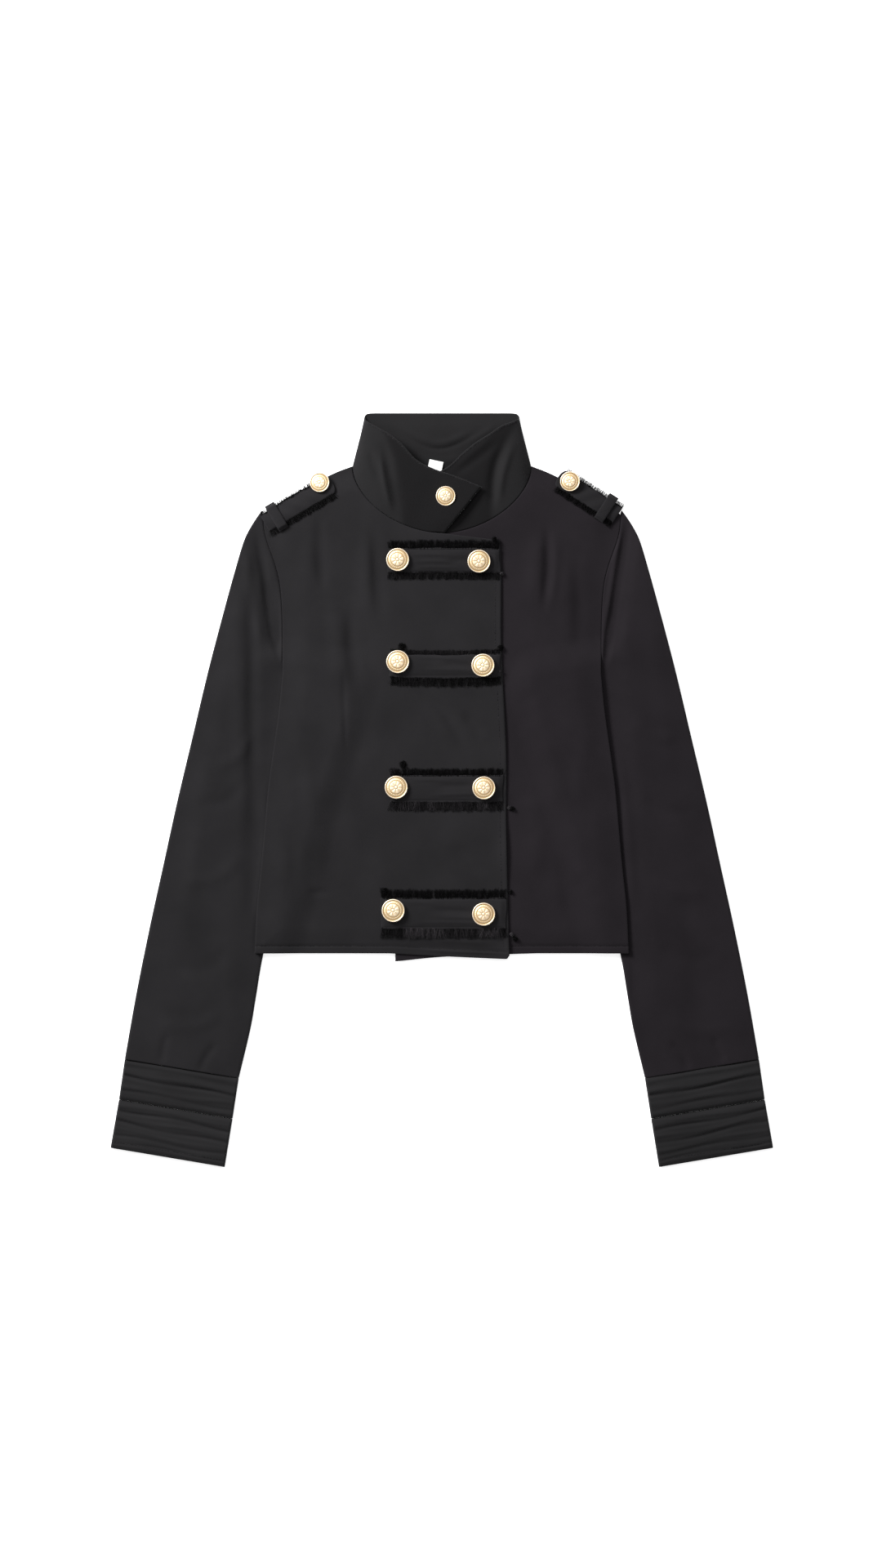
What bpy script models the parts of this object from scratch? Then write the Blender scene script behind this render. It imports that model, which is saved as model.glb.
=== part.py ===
"""A short black military jacket, laid flat on its back with the front up.

The jacket lies on the plane z = 0, with +Y towards its collar and +X towards the wearer's left. All sizes
and tables are in millimetres, and the mesh functions turn them into metres.

The cloth is stacked in the order in which it lies: sleeves and back on the floor, the body's sides over the
sleeves, the two fronts over the back, the wearer's right front over the left, then straps, fringe and buttons.
A sheet of cloth is an outline filled with triangles, lifted to the height of what lies beneath it and given
its wall by Solidify. A sleeve, a cuff and the collar are grids, because their two ends are unlike curves.
"""
import math

import bpy
import numpy as np
from mathutils import Vector
from mathutils.bvhtree import BVHTree
from mathutils.geometry import delaunay_2d_cdt

MM = 0.001

# Cloth
WALL = 1.4
COLLAR_WALL = 1.2
CUFF_WALL = 2.0
FRINGE_WALL = 0.9
FRINGE_STRIP = 1.5
FRINGE_GAP = 0.5
LAYER = 0.4
SEAM = 0.3

# Triangle sizes: the spacing of the points inside a sheet, and along its edge
COLUMN_STEP = 10.0
ROW_STEP = 18.0
EDGE_STEP = 14.0
ARMHOLE_STEP = 19.0
EDGE_CLEARANCE = 4.0
NEAR = 4.0

# Half of the body's outline, from the hem up the side to the underarm, then up the armhole to the shoulder
HEM_Y = -156.0
UNDERARM_Y = 112.0
SIDE = [  # x, y
    (178.7, HEM_Y), (176.3, -110), (172.9, -78), (168.9, -34), (165.5, 3), (160.5, 40), (155.5, 76), (152, UNDERARM_Y),
]
ARMHOLE = [(152, UNDERARM_Y), (152.5, 165), (154.5, 195), (159, 215), (168.5, 243), (171, 263)]  # x, y
SHOULDER = [(171, 263), (160, 271.5), (140, 284), (104, 302.3), (85.5, 309.5)]  # x, y

# Neckline: half of a superellipse that hangs from the neck points
NECK_HALF_WIDTH = 85.5
NECK_Y = 309.5
NECK_DEPTH = 64.0
NECK_POWER = 1.8
BACK_NECK_SAG = 8.0

# Lap: the edge of the front that lies over, and of the one that lies under
LAP_EDGE = [(64.7, -158), (62.9, -95), (61.6, -25), (61.6, 37), (57, 138), (56.9, 208), (55.4, 238.3)]  # x, y
LAP_HEM = [(-50, HEM_Y), (-0.8, -158.7), (62.2, -161.5)]  # x, y
UNDERLAP_X = -46.0
UNDERLAP_HEM = [(-44.5, -163.8), (-0.8, -159.5), (60, -157), (90, HEM_Y)]  # x, y
LAP_TOP_Y = 238.3
LAP_RAMP = 12.0

# Sleeve: its folds in plan, from the shoulder to the cuff
SLEEVE_OUTER = [  # x, y
    (171.8, 267.5), (177.4, 260), (184.5, 248.4), (190, 236), (198.1, 208.7), (206.7, 177.5), (223.1, 115.1),
    (237.9, 52.7), (252.7, -9.8), (266.4, -72.2), (280, -134.6), (292.5, -197), (303, -257),
]
SLEEVE_INNER = [  # x, y
    (97, 100), (107, 65), (122, 20), (139.5, -35), (156, -100), (170.4, -156), (177.5, -197), (182.9, -228.2),
    (194, -275),
]
SLEEVE_HIDDEN_END = [(97, 100), (120, 104), (145, 108), (152.9, 110.2)]  # x, y, under the body
SLEEVE_SEAM_START_Y = 117.0
SLEEVE_FLAT = 4.2
SLEEVE_CROWN = 1.0
SLEEVE_ROWS = 17
SLEEVE_ROW_POWER = 1.35
SLEEVE_FOLD_INSET = 1.6
SEAM_BLEND = 25.0

# Cuff: the inner and the outer end of each line across it, and how high each band lies
CUFF_LINES = [  # inner x, inner y, outer x, outer y
    (194, -275, 303, -257),
    (200, -314, 308.6, -295.8),
    (207.5, -360.4, 316.7, -342),
]
CUFF_BANDS = [("cuff_upper", 6.2), ("cuff_lower", 5.7)]  # name, height
CUFF_FOLD_INSET = 1.8
CUFF_COLUMNS = 7
CUFF_ROWS = 3

# Collar: each wing from its free end to the fold, its turn round the neckline in degrees, and its upper edge
COLLAR_TOP_Y = 360.4
OVER_WING = [  # turn, top x, top y, top z
    (88, 38.2, 289, 10.0), (100, 13.8, 299.1, 10.6), (112, -8, 306.5, 11.2), (124, -24, 315, 11.8),
    (136, -38, 330, 12.0), (148, -50, 339.5, 11.4), (160, -62, 346.5, 10), (170, -70.5, 351.5, 8),
]
UNDER_WING = [  # turn, top x, top y, top z
    (92, -14, 299, 8.2), (82, 5.5, 308.5, 9.2), (70, 20, 322, 10.2), (58, 33, 332.3, 11.0), (46, 45, 339.8, 11.2),
    (34, 56.6, 347.5, 10.8), (22, 65.5, 351, 9.6), (10, 71.5, 353.7, 8),
]
COLLAR_FOLD = (73.7, 355.0, 4.4)  # top x, top y, top z
COLLAR_BACK = [(78, 71.5, 358.8), (58, 52, COLLAR_TOP_Y), (30, 26, COLLAR_TOP_Y), (0, 0, COLLAR_TOP_Y)]
COLLAR_ROWS = 5
COLLAR_BULGE = 0.5
NECK_RISE = 2.5
NECK_RISE_REACH = 0.6
NECK_RISE_FROM_SHOULDER = 25.0

# The body's sides climb over the sleeves
CLIMB = 4.6
CLIMB_MARGIN = 10.0
CLIMB_WIDTH = 30.0
FLAT_HALF_WIDTH = 46.0

# The largest soft folds of the fronts
FOLDS = [  # x0, y0, x1, y1, half width, height
    (-71, 256, -70, 160, 8, 2.0),
    (-96, 182, -94, 88, 9, 1.8),
    (-128, 246, -125, 186, 8, 1.4),
    (92, 256, 90, 172, 9, 2.0),
    (118, 230, 121, 120, 9, 1.3),
    (-18, 92, 22, 34, 8, 1.2),
    (96, -20, 88, -92, 10, 1.2),
    (-112, -30, -118, -110, 10, 1.2),
]

# Straps across the lap: the strap's corners and how far its frayed edges reach
TABS = [  # left x, right x, lower y, upper y, upper fringe, lower fringe
    (-51.5, 55.6, 207.1, 230.5, 7.6, 6.6),
    (-49.9, 56.2, 108.0, 130.7, 6.2, 7.4),
    (-49.1, 58.5, -11.3, 14.4, 6.8, 8.6),
    (-58.5, 61.6, -132.2, -102.6, 6.6, 9.0),
]
TAB_LOCKS = 14

# Shoulder straps: the ends of each one's middle line, and the middle of its button
EPAULETTES = [  # side, sleeve end x, y, neck end x, y, button x, y
    ("right", -169, 254.5, -104, 293, -116.4, 293.5),
    ("left", 168, 262.5, 111, 299.5, 122.2, 294.5),
]
EPAULETTE_WIDTH = 18.0
EPAULETTE_FRINGE = 4.2
EPAULETTE_LOCKS = 9
LOOP_WIDTH = 10.0
LOOP_LENGTH = 28.0
LOOP_FROM_END = 13.0

# Buttons: the places of the front ones, and the turned profile of a button of radius 1 and height 1
FRONT_BUTTONS = [  # right button x, y, left button x, y
    (-42.0, 220.1, 35.4, 218.6),
    (-42.0, 122.5, 39.2, 119.1),
    (-43.5, 2.7, 40.1, 2.1),
    (-46.2, -114.7, 39.9, -118.2),
]
BUTTON_PROFILE = [(0, 1), (0.56, 0.86), (0.8, 0.56), (0.89, 0.66), (1, 0.44), (0.95, 0), (0, 0)]  # radius, height
BUTTON_STEPS = 14
BUTTON_HEIGHT = 5.0
FRONT_BUTTON_RADIUS = 11.0
SMALL_BUTTON_RADIUS = 9.4
COLLAR_BUTTON = (3.7, 280.6)

# Neck label, inside the back of the collar
LABEL_CENTRE = (-5.0, 308.0)
LABEL_SIZE = (17.0, 15.0)
LABEL_TURN = -12.0
LABEL_WALL = 0.4

COLOURS = {  # red, green, blue, roughness, metallic
    "jacket_cloth": (0.016, 0.015, 0.017, 0.85, 0.0),
    "fringe_thread": (0.008, 0.007, 0.009, 0.95, 0.0),
    "gold_metal": (0.83, 0.62, 0.30, 0.3, 1.0),
    "label_cloth": (0.85, 0.85, 0.84, 0.8, 0.0),
}


def smooth(t):
    """0 below 0, 1 above 1, and an even S between them."""
    t = np.clip(t, 0, 1)
    return t * t * (3 - 2 * t)


def through(points, step):
    """Points about step apart along a smooth curve through the given ones, ends included."""
    p = np.array(points, float)
    padded = np.vstack([2 * p[0] - p[1], p, 2 * p[-1] - p[-2]])
    fine = [p[:1]]
    for a, b, c, d in zip(padded[:-3], padded[1:-2], padded[2:-1], padded[3:]):
        t = np.linspace(0, 1, 13)[1:, None]
        fine.append(0.5 * (2 * b + (c - a) * t + (2 * a - 5 * b + 4 * c - d) * t**2 + (3 * b - a - 3 * c + d) * t**3))
    return along(np.vstack(fine), np.linspace(0, 1, max(2, round(length(p) / step) + 1)))


def length(points):
    return float(np.linalg.norm(np.diff(points, axis=0), axis=1).sum())


def along(points, shares):
    """The points that lie at the given shares of a line's length."""
    run = np.concatenate([[0], np.cumsum(np.linalg.norm(np.diff(points, axis=0), axis=1))])
    return np.stack([np.interp(np.asarray(shares) * run[-1], run, points[:, k]) for k in range(2)], axis=1)


def mirrored(points):
    return np.asarray(points, float)[::-1] * [-1, 1]


HALF_COLUMNS = np.arange(COLUMN_STEP / 2, 180, COLUMN_STEP)
COLUMNS = np.concatenate([-HALF_COLUMNS[::-1], HALF_COLUMNS])


def hem(x0, x1):
    """The hem's points between two places, on the columns that the sheets share."""
    middle = COLUMNS[(COLUMNS > x0 + EDGE_CLEARANCE) & (COLUMNS < x1 - EDGE_CLEARANCE)]
    x = np.concatenate([[x0], middle, [x1]])
    return np.column_stack([x, np.full(len(x), HEM_Y)])


BODY_EDGE = np.vstack([through(SIDE, EDGE_STEP), through(ARMHOLE, ARMHOLE_STEP)[1:]])


def body_half_width(y):
    return np.interp(y, BODY_EDGE[:, 1], BODY_EDGE[:, 0])


def neckline(turn):
    """The neckline's point at a turn in degrees, 0 at the wearer's left neck point and 180 at the right one."""
    c = np.cos(np.radians(turn))
    drop = (1 - np.abs(c) ** NECK_POWER) ** (1 / NECK_POWER)
    return np.stack([NECK_HALF_WIDTH * c, NECK_Y - NECK_DEPTH * drop], axis=-1)


def back_neck_y(x):
    return NECK_Y - BACK_NECK_SAG * (1 - (np.abs(x) / NECK_HALF_WIDTH) ** 2)


def climb(x, y):
    """How far the body is lifted by the sleeve beneath it."""
    x = np.abs(x)
    inner = np.array(SLEEVE_INNER)[::-1]
    end = np.array(SLEEVE_HIDDEN_END)
    inside = np.maximum(np.interp(y, inner[:, 1], inner[:, 0]) - x, 0)
    above = np.maximum(y - np.interp(x, end[:, 0], end[:, 1]), 0)
    away = np.hypot(inside, above) - CLIMB_MARGIN
    return CLIMB * smooth(1 - away / CLIMB_WIDTH)


def neck_rise(x, y):
    """The collar lifts the cloth round the neckline, but not at the shoulder seams."""
    rim = np.hypot(x / NECK_HALF_WIDTH, (y - NECK_Y) / NECK_DEPTH)
    shoulder = np.array(SHOULDER)[::-1]
    below = np.interp(np.abs(x), shoulder[:, 0], shoulder[:, 1]) - y
    return NECK_RISE * smooth(1 - (rim - 1) / NECK_RISE_REACH) * smooth(below / NECK_RISE_FROM_SHOULDER)


def folds(x, y):
    """Soft ridges that die away towards both ends."""
    total = np.zeros(np.broadcast(x, y).shape)
    for x0, y0, x1, y1, half_width, height in FOLDS:
        run = math.hypot(x1 - x0, y1 - y0)
        ux, uy = (x1 - x0) / run, (y1 - y0) / run
        t = ((x - x0) * ux + (y - y0) * uy) / run
        off = (x - x0) * uy - (y - y0) * ux
        total += height * np.exp(-((off / half_width) ** 2)) * smooth(2.2 * t) * smooth(2.2 * (1 - t))
    return total


def under_back(x, y):
    return climb(x, y)


def under_front(x, y):
    return climb(x, y) + WALL + LAYER + neck_rise(x, y) + folds(x, y)


def under_lap(x, y):
    """The underside of the front that lies over, which climbs the edge of the one beneath."""
    return under_front(x, y) + (WALL + LAYER) * smooth((x - UNDERLAP_X) / LAP_RAMP + 1.25)


def on_lap(x, y):
    return highest_near(under_lap, x, y) + WALL + SEAM


def on_shoulder(x, y):
    """What a shoulder strap lies on: the front, and past the armhole seam the sleeve's head."""
    past_seam = np.abs(x) > body_half_width(y) - NEAR
    sleeve = highest_near(sleeve_high, np.abs(x), y) + SEAM
    return np.maximum(highest_near(under_front, x, y) + WALL + SEAM, np.where(past_seam, sleeve, 0))


def highest_near(height, x, y):
    """The height of a surface of coarse triangles, taken a little high, so that what lies on it clears it."""
    steps = [(0, 0), (NEAR, 0), (-NEAR, 0), (0, NEAR), (0, -NEAR)]
    return np.max([height(x + dx, y + dy) for dx, dy in steps], axis=0)


def seam_share(x, y):
    """1 where the sleeve meets the armhole seam, and 0 where it lies by itself."""
    out = x - body_half_width(y)
    return smooth(1 - (out - LAYER) / SEAM_BLEND) * smooth((y - UNDERARM_Y + 1.5) / 6) * (out > 0)


def sleeve_high(x, y):
    """The sleeve's upper side: it starts level with the front at the seam, then crowns a little."""
    share = seam_share(x, y)
    flat = SLEEVE_FLAT + SLEEVE_CROWN * smooth((x - body_half_width(y) - 3) / SEAM_BLEND)
    return share * (climb(x, y) + 2 * WALL + LAYER) + (1 - share) * flat


def sleeve_low(x, y):
    """The sleeve's under side: on the floor, but level with the back at the seam."""
    return seam_share(x, y) * climb(x, y)


def lattice(outline, columns, rows):
    """The crossing points of the columns and rows that lie well inside an outline."""
    gx, gy = (g.ravel() for g in np.meshgrid(columns, rows))
    a, b = outline, np.roll(outline, -1, axis=0)
    spans = (a[:, 1] > gy[:, None]) != (b[:, 1] > gy[:, None])
    rise = np.where(np.abs(b[:, 1] - a[:, 1]) < 1e-9, 1e-9, b[:, 1] - a[:, 1])
    crossing = a[:, 0] + (gy[:, None] - a[:, 1]) / rise * (b[:, 0] - a[:, 0])
    inside = (spans & (gx[:, None] < crossing)).sum(axis=1) % 2 == 1
    d = b - a
    t = ((gx[:, None] - a[:, 0]) * d[:, 0] + (gy[:, None] - a[:, 1]) * d[:, 1]) / np.maximum((d * d).sum(axis=1), 1e-9)
    t = np.clip(t, 0, 1)
    away = np.hypot(gx[:, None] - a[:, 0] - t * d[:, 0], gy[:, None] - a[:, 1] - t * d[:, 1]).min(axis=1)
    keep = inside & (away > EDGE_CLEARANCE)
    return np.stack([gx[keep], gy[keep]], axis=1)


def new_mesh(name, points, faces, material):
    mesh = bpy.data.meshes.new(name)
    mesh.from_pydata([tuple(p) for p in np.asarray(points, float) * MM], [], faces)
    mesh.materials.append(material)
    mesh.validate()
    obj = bpy.data.objects.new(name, mesh)
    PARTS.objects.link(obj)
    mesh.shade_smooth()
    mesh.set_sharp_from_angle(angle=math.radians(40))
    return obj


def add_wall(obj, wall, outwards):
    mod = obj.modifiers.new("Wall", "SOLIDIFY")
    mod.thickness = wall * MM
    mod.offset = 1 if outwards else -1
    mod.use_even_offset = True
    mod.use_quality_normals = True


def sheet(name, outline, underside, wall, material, columns=(), rows=()):
    """A sheet of cloth: its outline filled with triangles, each point on the underside's height."""
    outline = np.asarray(outline, float)
    points = outline
    if len(columns):
        points = np.vstack([outline, lattice(outline, columns, rows)])
    flat, _, faces, *_ = delaunay_2d_cdt([Vector(p) for p in points], [], [list(range(len(outline)))], 1, 1e-6)
    flat = np.array(flat)
    upwards = []
    for a, b, c in faces:
        ab, ac = flat[b] - flat[a], flat[c] - flat[a]
        upwards.append((a, b, c) if ab[0] * ac[1] - ab[1] * ac[0] > 0 else (a, c, b))
    z = underside(flat[:, 0], flat[:, 1])
    obj = new_mesh(name, np.column_stack([flat, z]), upwards, material)
    add_wall(obj, wall, outwards=True)
    return obj


def grid(name, points, wall, material, closed, flip):
    """A wall on a grid of rows and columns; a closed one is a tube, whose columns run round it."""
    rows, columns = points.shape[:2]
    faces = []
    for i in range(rows - 1):
        for j in range(columns if closed else columns - 1):
            k = (j + 1) % columns
            quad = (i * columns + j, (i + 1) * columns + j, (i + 1) * columns + k, i * columns + k)
            faces.append(quad[::-1] if flip else quad)
    obj = new_mesh(name, points.reshape(-1, 3), faces, material)
    add_wall(obj, wall, outwards=False)
    return obj


def patch(end, other_end, inner, outer, shares, down):
    """A grid in plan between four curves: both ends at the shares across, and the folds at the shares down."""
    v, u = down[:, None, None], np.asarray(shares)[None, :, None]
    e, c = end[None], other_end[None]
    i, o = inner[:, None], outer[:, None]
    corners = (1 - u) * (1 - v) * e[:, :1] + u * (1 - v) * e[:, -1:] + (1 - u) * v * c[:, :1] + u * v * c[:, -1:]
    return (1 - v) * e + v * c + (1 - u) * i + u * o - corners


def tube(name, plan, low, high, side, wall, material):
    """A flattened tube: its upper side from the inner fold to the outer, then its under side back again."""
    middle = (low + high) / 2
    top = np.dstack([plan, high])
    bottom = np.dstack([plan, low])[:, -2:0:-1]
    for k in (0, -1):
        top[:, k, 2] = middle[:, k]
    ring = np.concatenate([top, bottom], axis=1)
    ring[:, :, 0] *= side
    return grid(name, ring, wall, material, closed=True, flip=side < 0)


def edge_columns(shares, plan_width, inset):
    """The shares across a tube, with one more column near each fold, so that the folds are round."""
    near = inset / plan_width
    return np.concatenate([[0, near], shares[1:-1], [1 - near, 1]])


def sleeve(side, name, cloth):
    """A tube from the armhole seam, and the fold hidden under the body, down to the cuff."""
    seam_y = np.append(SLEEVE_SEAM_START_Y, BODY_EDGE[BODY_EDGE[:, 1] > SLEEVE_SEAM_START_Y + 8, 1])
    seam = np.column_stack([body_half_width(seam_y) + LAYER, seam_y])
    end = np.vstack([SLEEVE_HIDDEN_END, seam, SLEEVE_OUTER[:1]])
    run = np.concatenate([[0], np.cumsum(np.linalg.norm(np.diff(end, axis=0), axis=1))])
    shares = edge_columns(run / run[-1], run[-1], SLEEVE_FOLD_INSET)
    end = along(end, shares)
    inner_cuff, outer_cuff = np.array(CUFF_LINES[0]).reshape(2, 2)
    across = outer_cuff - inner_cuff
    away = np.array([-across[1], across[0]]) / np.linalg.norm(across)
    cuff = inner_cuff + shares[:, None] * across + away * SEAM
    down = np.linspace(0, 1, SLEEVE_ROWS) ** SLEEVE_ROW_POWER
    inner = along(through(SLEEVE_INNER, 4), down)
    outer = along(through(SLEEVE_OUTER, 4), down)
    plan = patch(end, cuff, inner, outer, shares, down)
    x, y = plan[..., 0], plan[..., 1]
    tube(name, plan, sleeve_low(x, y), sleeve_high(x, y), side, WALL, cloth)


def cuff_band(side, name, upper, lower, height, cloth):
    """A band of the cuff between two lines across the sleeve, half a seam's gap inside each."""
    (upper_in, upper_out), (lower_in, lower_out) = np.array(upper).reshape(2, 2), np.array(lower).reshape(2, 2)
    width = np.linalg.norm(upper_out - upper_in)
    shares = edge_columns(np.linspace(0, 1, CUFF_COLUMNS), width, CUFF_FOLD_INSET)[:, None]
    top, bottom = upper_in + shares * (upper_out - upper_in), lower_in + shares * (lower_out - lower_in)
    trim = SEAM / 2 / np.linalg.norm(lower_in - upper_in)
    v = np.linspace(trim, 1 - trim, CUFF_ROWS)[:, None, None]
    plan = top + v * (bottom - top)
    high = np.full(plan.shape[:2], height)
    tube(name, plan, high * 0, high, side, CUFF_WALL, cloth)


def front_outline_right():
    neck = neckline(np.linspace(90, 180, 12))[:-1]
    return np.vstack([
        hem(-SIDE[0][0], LAP_HEM[0][0]),
        through(LAP_HEM, EDGE_STEP * 1.5)[1:],
        through(LAP_EDGE, ROW_STEP),
        through([LAP_EDGE[-1], neck[0] - [0, SEAM]], EDGE_STEP)[1:-1],
        neck + seam_push(neck),
        mirrored(through(SHOULDER, EDGE_STEP)),
        mirrored(BODY_EDGE)[1:-1],
    ])


def front_outline_left():
    neck = neckline(np.linspace(0, 90, 12))[1:]
    return np.vstack([
        through([(UNDERLAP_X, LAP_TOP_Y), UNDERLAP_HEM[0]], ROW_STEP),
        through(UNDERLAP_HEM, EDGE_STEP)[1:-1],
        hem(UNDERLAP_HEM[-1][0], SIDE[0][0])[:-1],
        BODY_EDGE,
        through(SHOULDER, EDGE_STEP)[1:],
        neck + seam_push(neck),
    ])


def back_outline():
    x = np.linspace(NECK_HALF_WIDTH, -NECK_HALF_WIDTH, 13)[1:-1]
    neck = np.stack([x, back_neck_y(x)], axis=1)
    return np.vstack([
        hem(-SIDE[0][0], SIDE[0][0])[:-1],
        BODY_EDGE,
        through(SHOULDER, EDGE_STEP)[1:],
        neck,
        mirrored(through(SHOULDER, EDGE_STEP)),
        mirrored(BODY_EDGE)[1:-1],
    ])


def seam_push(neck):
    """The step away from the neck's middle that keeps a seam's gap between a front and the collar."""
    away = neck - [0, NECK_Y + 1]
    return away / np.linalg.norm(away, axis=1)[:, None] * SEAM


def collar(cloth):
    """One band from the free end of the under wing, round the back, to the free end of the over wing."""
    fold_x, fold_y, fold_z = COLLAR_FOLD
    seams, tops = [], []

    def add(seam, top):
        seams.append(seam)
        tops.append(top)

    for turn, x, y, z in UNDER_WING:
        sx, sy = neckline(turn)
        add((sx, sy, under_front(sx, sy) + WALL), (x, y, z))
    add((NECK_HALF_WIDTH - 0.5, NECK_Y + 0.8, WALL + LAYER / 2), (fold_x, fold_y, fold_z))
    back = COLLAR_BACK + [(-sx, -x, y) for sx, x, y in COLLAR_BACK[-2::-1]]
    for sx, x, y in back:
        add((sx, back_neck_y(sx) + SEAM + 0.2, 0), (x, y, 0))
    add((-NECK_HALF_WIDTH + 0.5, NECK_Y + 0.8, WALL + LAYER / 2), (-fold_x, fold_y, fold_z))
    for turn, x, y, z in OVER_WING[::-1]:
        sx, sy = neckline(turn)
        add((sx, sy, under_lap(sx, sy) + WALL), (x, y, z))
    t = np.linspace(0, 1, COLLAR_ROWS)[:, None, None]
    low, high = np.array(seams)[None], np.array(tops)[None]
    points = low + t * (high - low)
    points[..., 2] += np.where(high[..., 2] > fold_z, COLLAR_BULGE * np.sin(np.pi * t[..., 0]), 0)
    return grid("collar", points, COLLAR_WALL, cloth, closed=False, flip=True)


def rectangle(x0, x1, y0, y1, step):
    """A rectangle's outline, anticlockwise, with points along its long sides."""
    n = max(2, round((x1 - x0) / step) + 1)
    x = np.linspace(x0, x1, n)
    return np.vstack([np.column_stack([x, np.full(n, y0)]), np.column_stack([x[::-1], np.full(n, y1)])])


def comb(x0, x1, locks, strip, reach, phase):
    """The outline of a frayed edge that points up: a narrow strip with uneven pointed locks."""
    pitch = (x1 - x0) / locks
    line = [(x, 0) for x in np.linspace(x0, x1, locks // 2 + 1)]
    for k in range(locks - 1, -1, -1):
        right = x0 + (k + 1) * pitch
        tip = reach * (0.78 + 0.22 * math.sin(2.4 * k + phase))
        lean = pitch * 0.22 * math.sin(1.7 * k + 2 * phase)
        line += [(right, strip), (right - pitch * 0.5 + lean, tip)]
    return np.array(line + [(x0, strip)])


def fringe(name, place, x0, x1, locks, reach, phase, underside, thread):
    """A frayed edge, laid along the strap's edge; place turns the strap's own axes into the jacket's."""
    outline = place(comb(x0, x1, locks, FRINGE_STRIP, reach, phase))
    sheet(name, anticlockwise(outline), underside, FRINGE_WALL, thread)


def anticlockwise(outline):
    x, y = outline.T
    area = np.sum(x * np.roll(y, -1) - np.roll(x, -1) * y)
    return outline if area > 0 else outline[::-1]


def tab(number, row, cloth, thread):
    left, right, low, high, up, down = row
    rows = np.linspace(low, high, 3)
    strap = sheet(f"tab_{number}", rectangle(left, right, low, high, COLUMN_STEP), on_lap, WALL, cloth, COLUMNS, rows)
    top, bottom = high + FRINGE_GAP, low - FRINGE_GAP
    fringe(f"tab_{number}_fringe_upper", lambda p: p + [0, top], left, right, TAB_LOCKS, up, number, on_lap, thread)
    fringe(
        f"tab_{number}_fringe_lower", lambda p: p * [1, -1] + [0, bottom], left, right, TAB_LOCKS, down,
        number + 0.7, on_lap, thread,
    )
    return strap


def epaulette(row, cloth, thread, metal):
    side, sx, sy, nx, ny, bx, by = row
    run = math.hypot(nx - sx, ny - sy)
    ax, ay = (nx - sx) / run, (ny - sy) / run
    upwards = 1 if ax > 0 else -1

    def place(points):
        """The strap's own axes: x from the sleeve to the neck, y across it towards its upper edge."""
        p = np.asarray(points, float)
        across = p[:, 1] * upwards
        return np.column_stack([sx + p[:, 0] * ax - across * ay, sy + p[:, 0] * ay + across * ax])

    half = EPAULETTE_WIDTH / 2
    turn = np.radians(np.linspace(-75, 75, 6))
    tip = np.column_stack([run - half * 0.45 + half * 0.45 * np.cos(turn), half * np.sin(turn)])
    body = np.linspace(0, run - half * 0.4, 7)
    outline = place(np.vstack([np.column_stack([body, np.full(7, -half)]), tip,
                               np.column_stack([body[::-1], np.full(7, half)])]))
    strap = sheet(f"epaulette_{side}", anticlockwise(outline), on_shoulder, WALL, cloth)
    for word, sign in (("upper", 1), ("lower", -1)):
        fringe(
            f"epaulette_{side}_fringe_{word}",
            lambda p, s=sign: place(np.column_stack([p[:, 0], s * (p[:, 1] + half + FRINGE_GAP)])),
            1, run - 3, EPAULETTE_LOCKS, EPAULETTE_FRINGE, 3 + sign, on_shoulder, thread,
        )
    loop = rectangle(LOOP_FROM_END - LOOP_WIDTH / 2, LOOP_FROM_END + LOOP_WIDTH / 2, -LOOP_LENGTH / 2,
                     LOOP_LENGTH / 2, LOOP_WIDTH)
    sheet(
        f"epaulette_{side}_loop", anticlockwise(place(loop)),
        lambda x, y: highest_near(on_shoulder, x, y) + WALL + 2 * SEAM, WALL, cloth,
    )
    button(f"button_epaulette_{side}", strap, (bx, by), WALL, SMALL_BUTTON_RADIUS, metal)


def seat(carrier, centre, wall, radius):
    """The middle and the tilt of a flat disc that just clears a piece's upper side."""
    mesh = carrier.data
    tree = BVHTree.FromPolygons([v.co for v in mesh.vertices], [p.vertices for p in mesh.polygons])
    turns = np.arange(8) * math.pi / 4
    steps = [(0, 0)] + [(math.cos(a) * radius, math.sin(a) * radius) for a in turns]
    hits = [tree.ray_cast(Vector((centre[0] + dx, centre[1] + dy, 50)) * MM, Vector((0, 0, -1)))[0] for dx, dy in steps]
    kept = [(dx, dy, hit.z / MM) for (dx, dy), hit in zip(steps, hits) if hit]
    places = np.array(kept)
    level, *_ = np.linalg.lstsq(np.column_stack([places[:, :2], np.ones(len(places))]), places[:, 2], rcond=None)
    above = (places[:, 2] - places[:, :2] @ level[:2] - level[2]).max()
    normal = Vector((-level[0], -level[1], 1)).normalized()
    return Vector((centre[0], centre[1], level[2] + above + wall + SEAM)), normal


def button(name, carrier, centre, wall, radius, metal):
    """A domed button with a raised rim, turned from its profile and seated on the piece that carries it."""
    place, normal = seat(carrier, centre, wall, radius)
    mesh = bpy.data.meshes.new(name)
    points = [(r * radius * MM, 0, h * BUTTON_HEIGHT * MM) for r, h in BUTTON_PROFILE]
    mesh.from_pydata(points, [(k, k + 1) for k in range(len(points) - 1)], [])
    mesh.materials.append(metal)
    obj = bpy.data.objects.new(name, mesh)
    PARTS.objects.link(obj)
    obj.location = place * MM
    obj.rotation_euler = normal.to_track_quat("Z", "Y").to_euler()
    screw = obj.modifiers.new("Turn", "SCREW")
    screw.steps = screw.render_steps = BUTTON_STEPS
    screw.use_merge_vertices = True
    screw.merge_threshold = 0.00001
    return obj


def neck_label(cloth):
    turn = math.radians(LABEL_TURN)
    w, h = (s / 2 for s in LABEL_SIZE)
    corners = np.array([(-w, -h), (w, -h), (w, h), (-w, h)])
    spin = np.array([(math.cos(turn), math.sin(turn)), (-math.sin(turn), math.cos(turn))])
    sheet("neck_label", corners @ spin + LABEL_CENTRE, lambda x, y: 0 * x + COLLAR_WALL + SEAM, LABEL_WALL, cloth)


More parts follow.
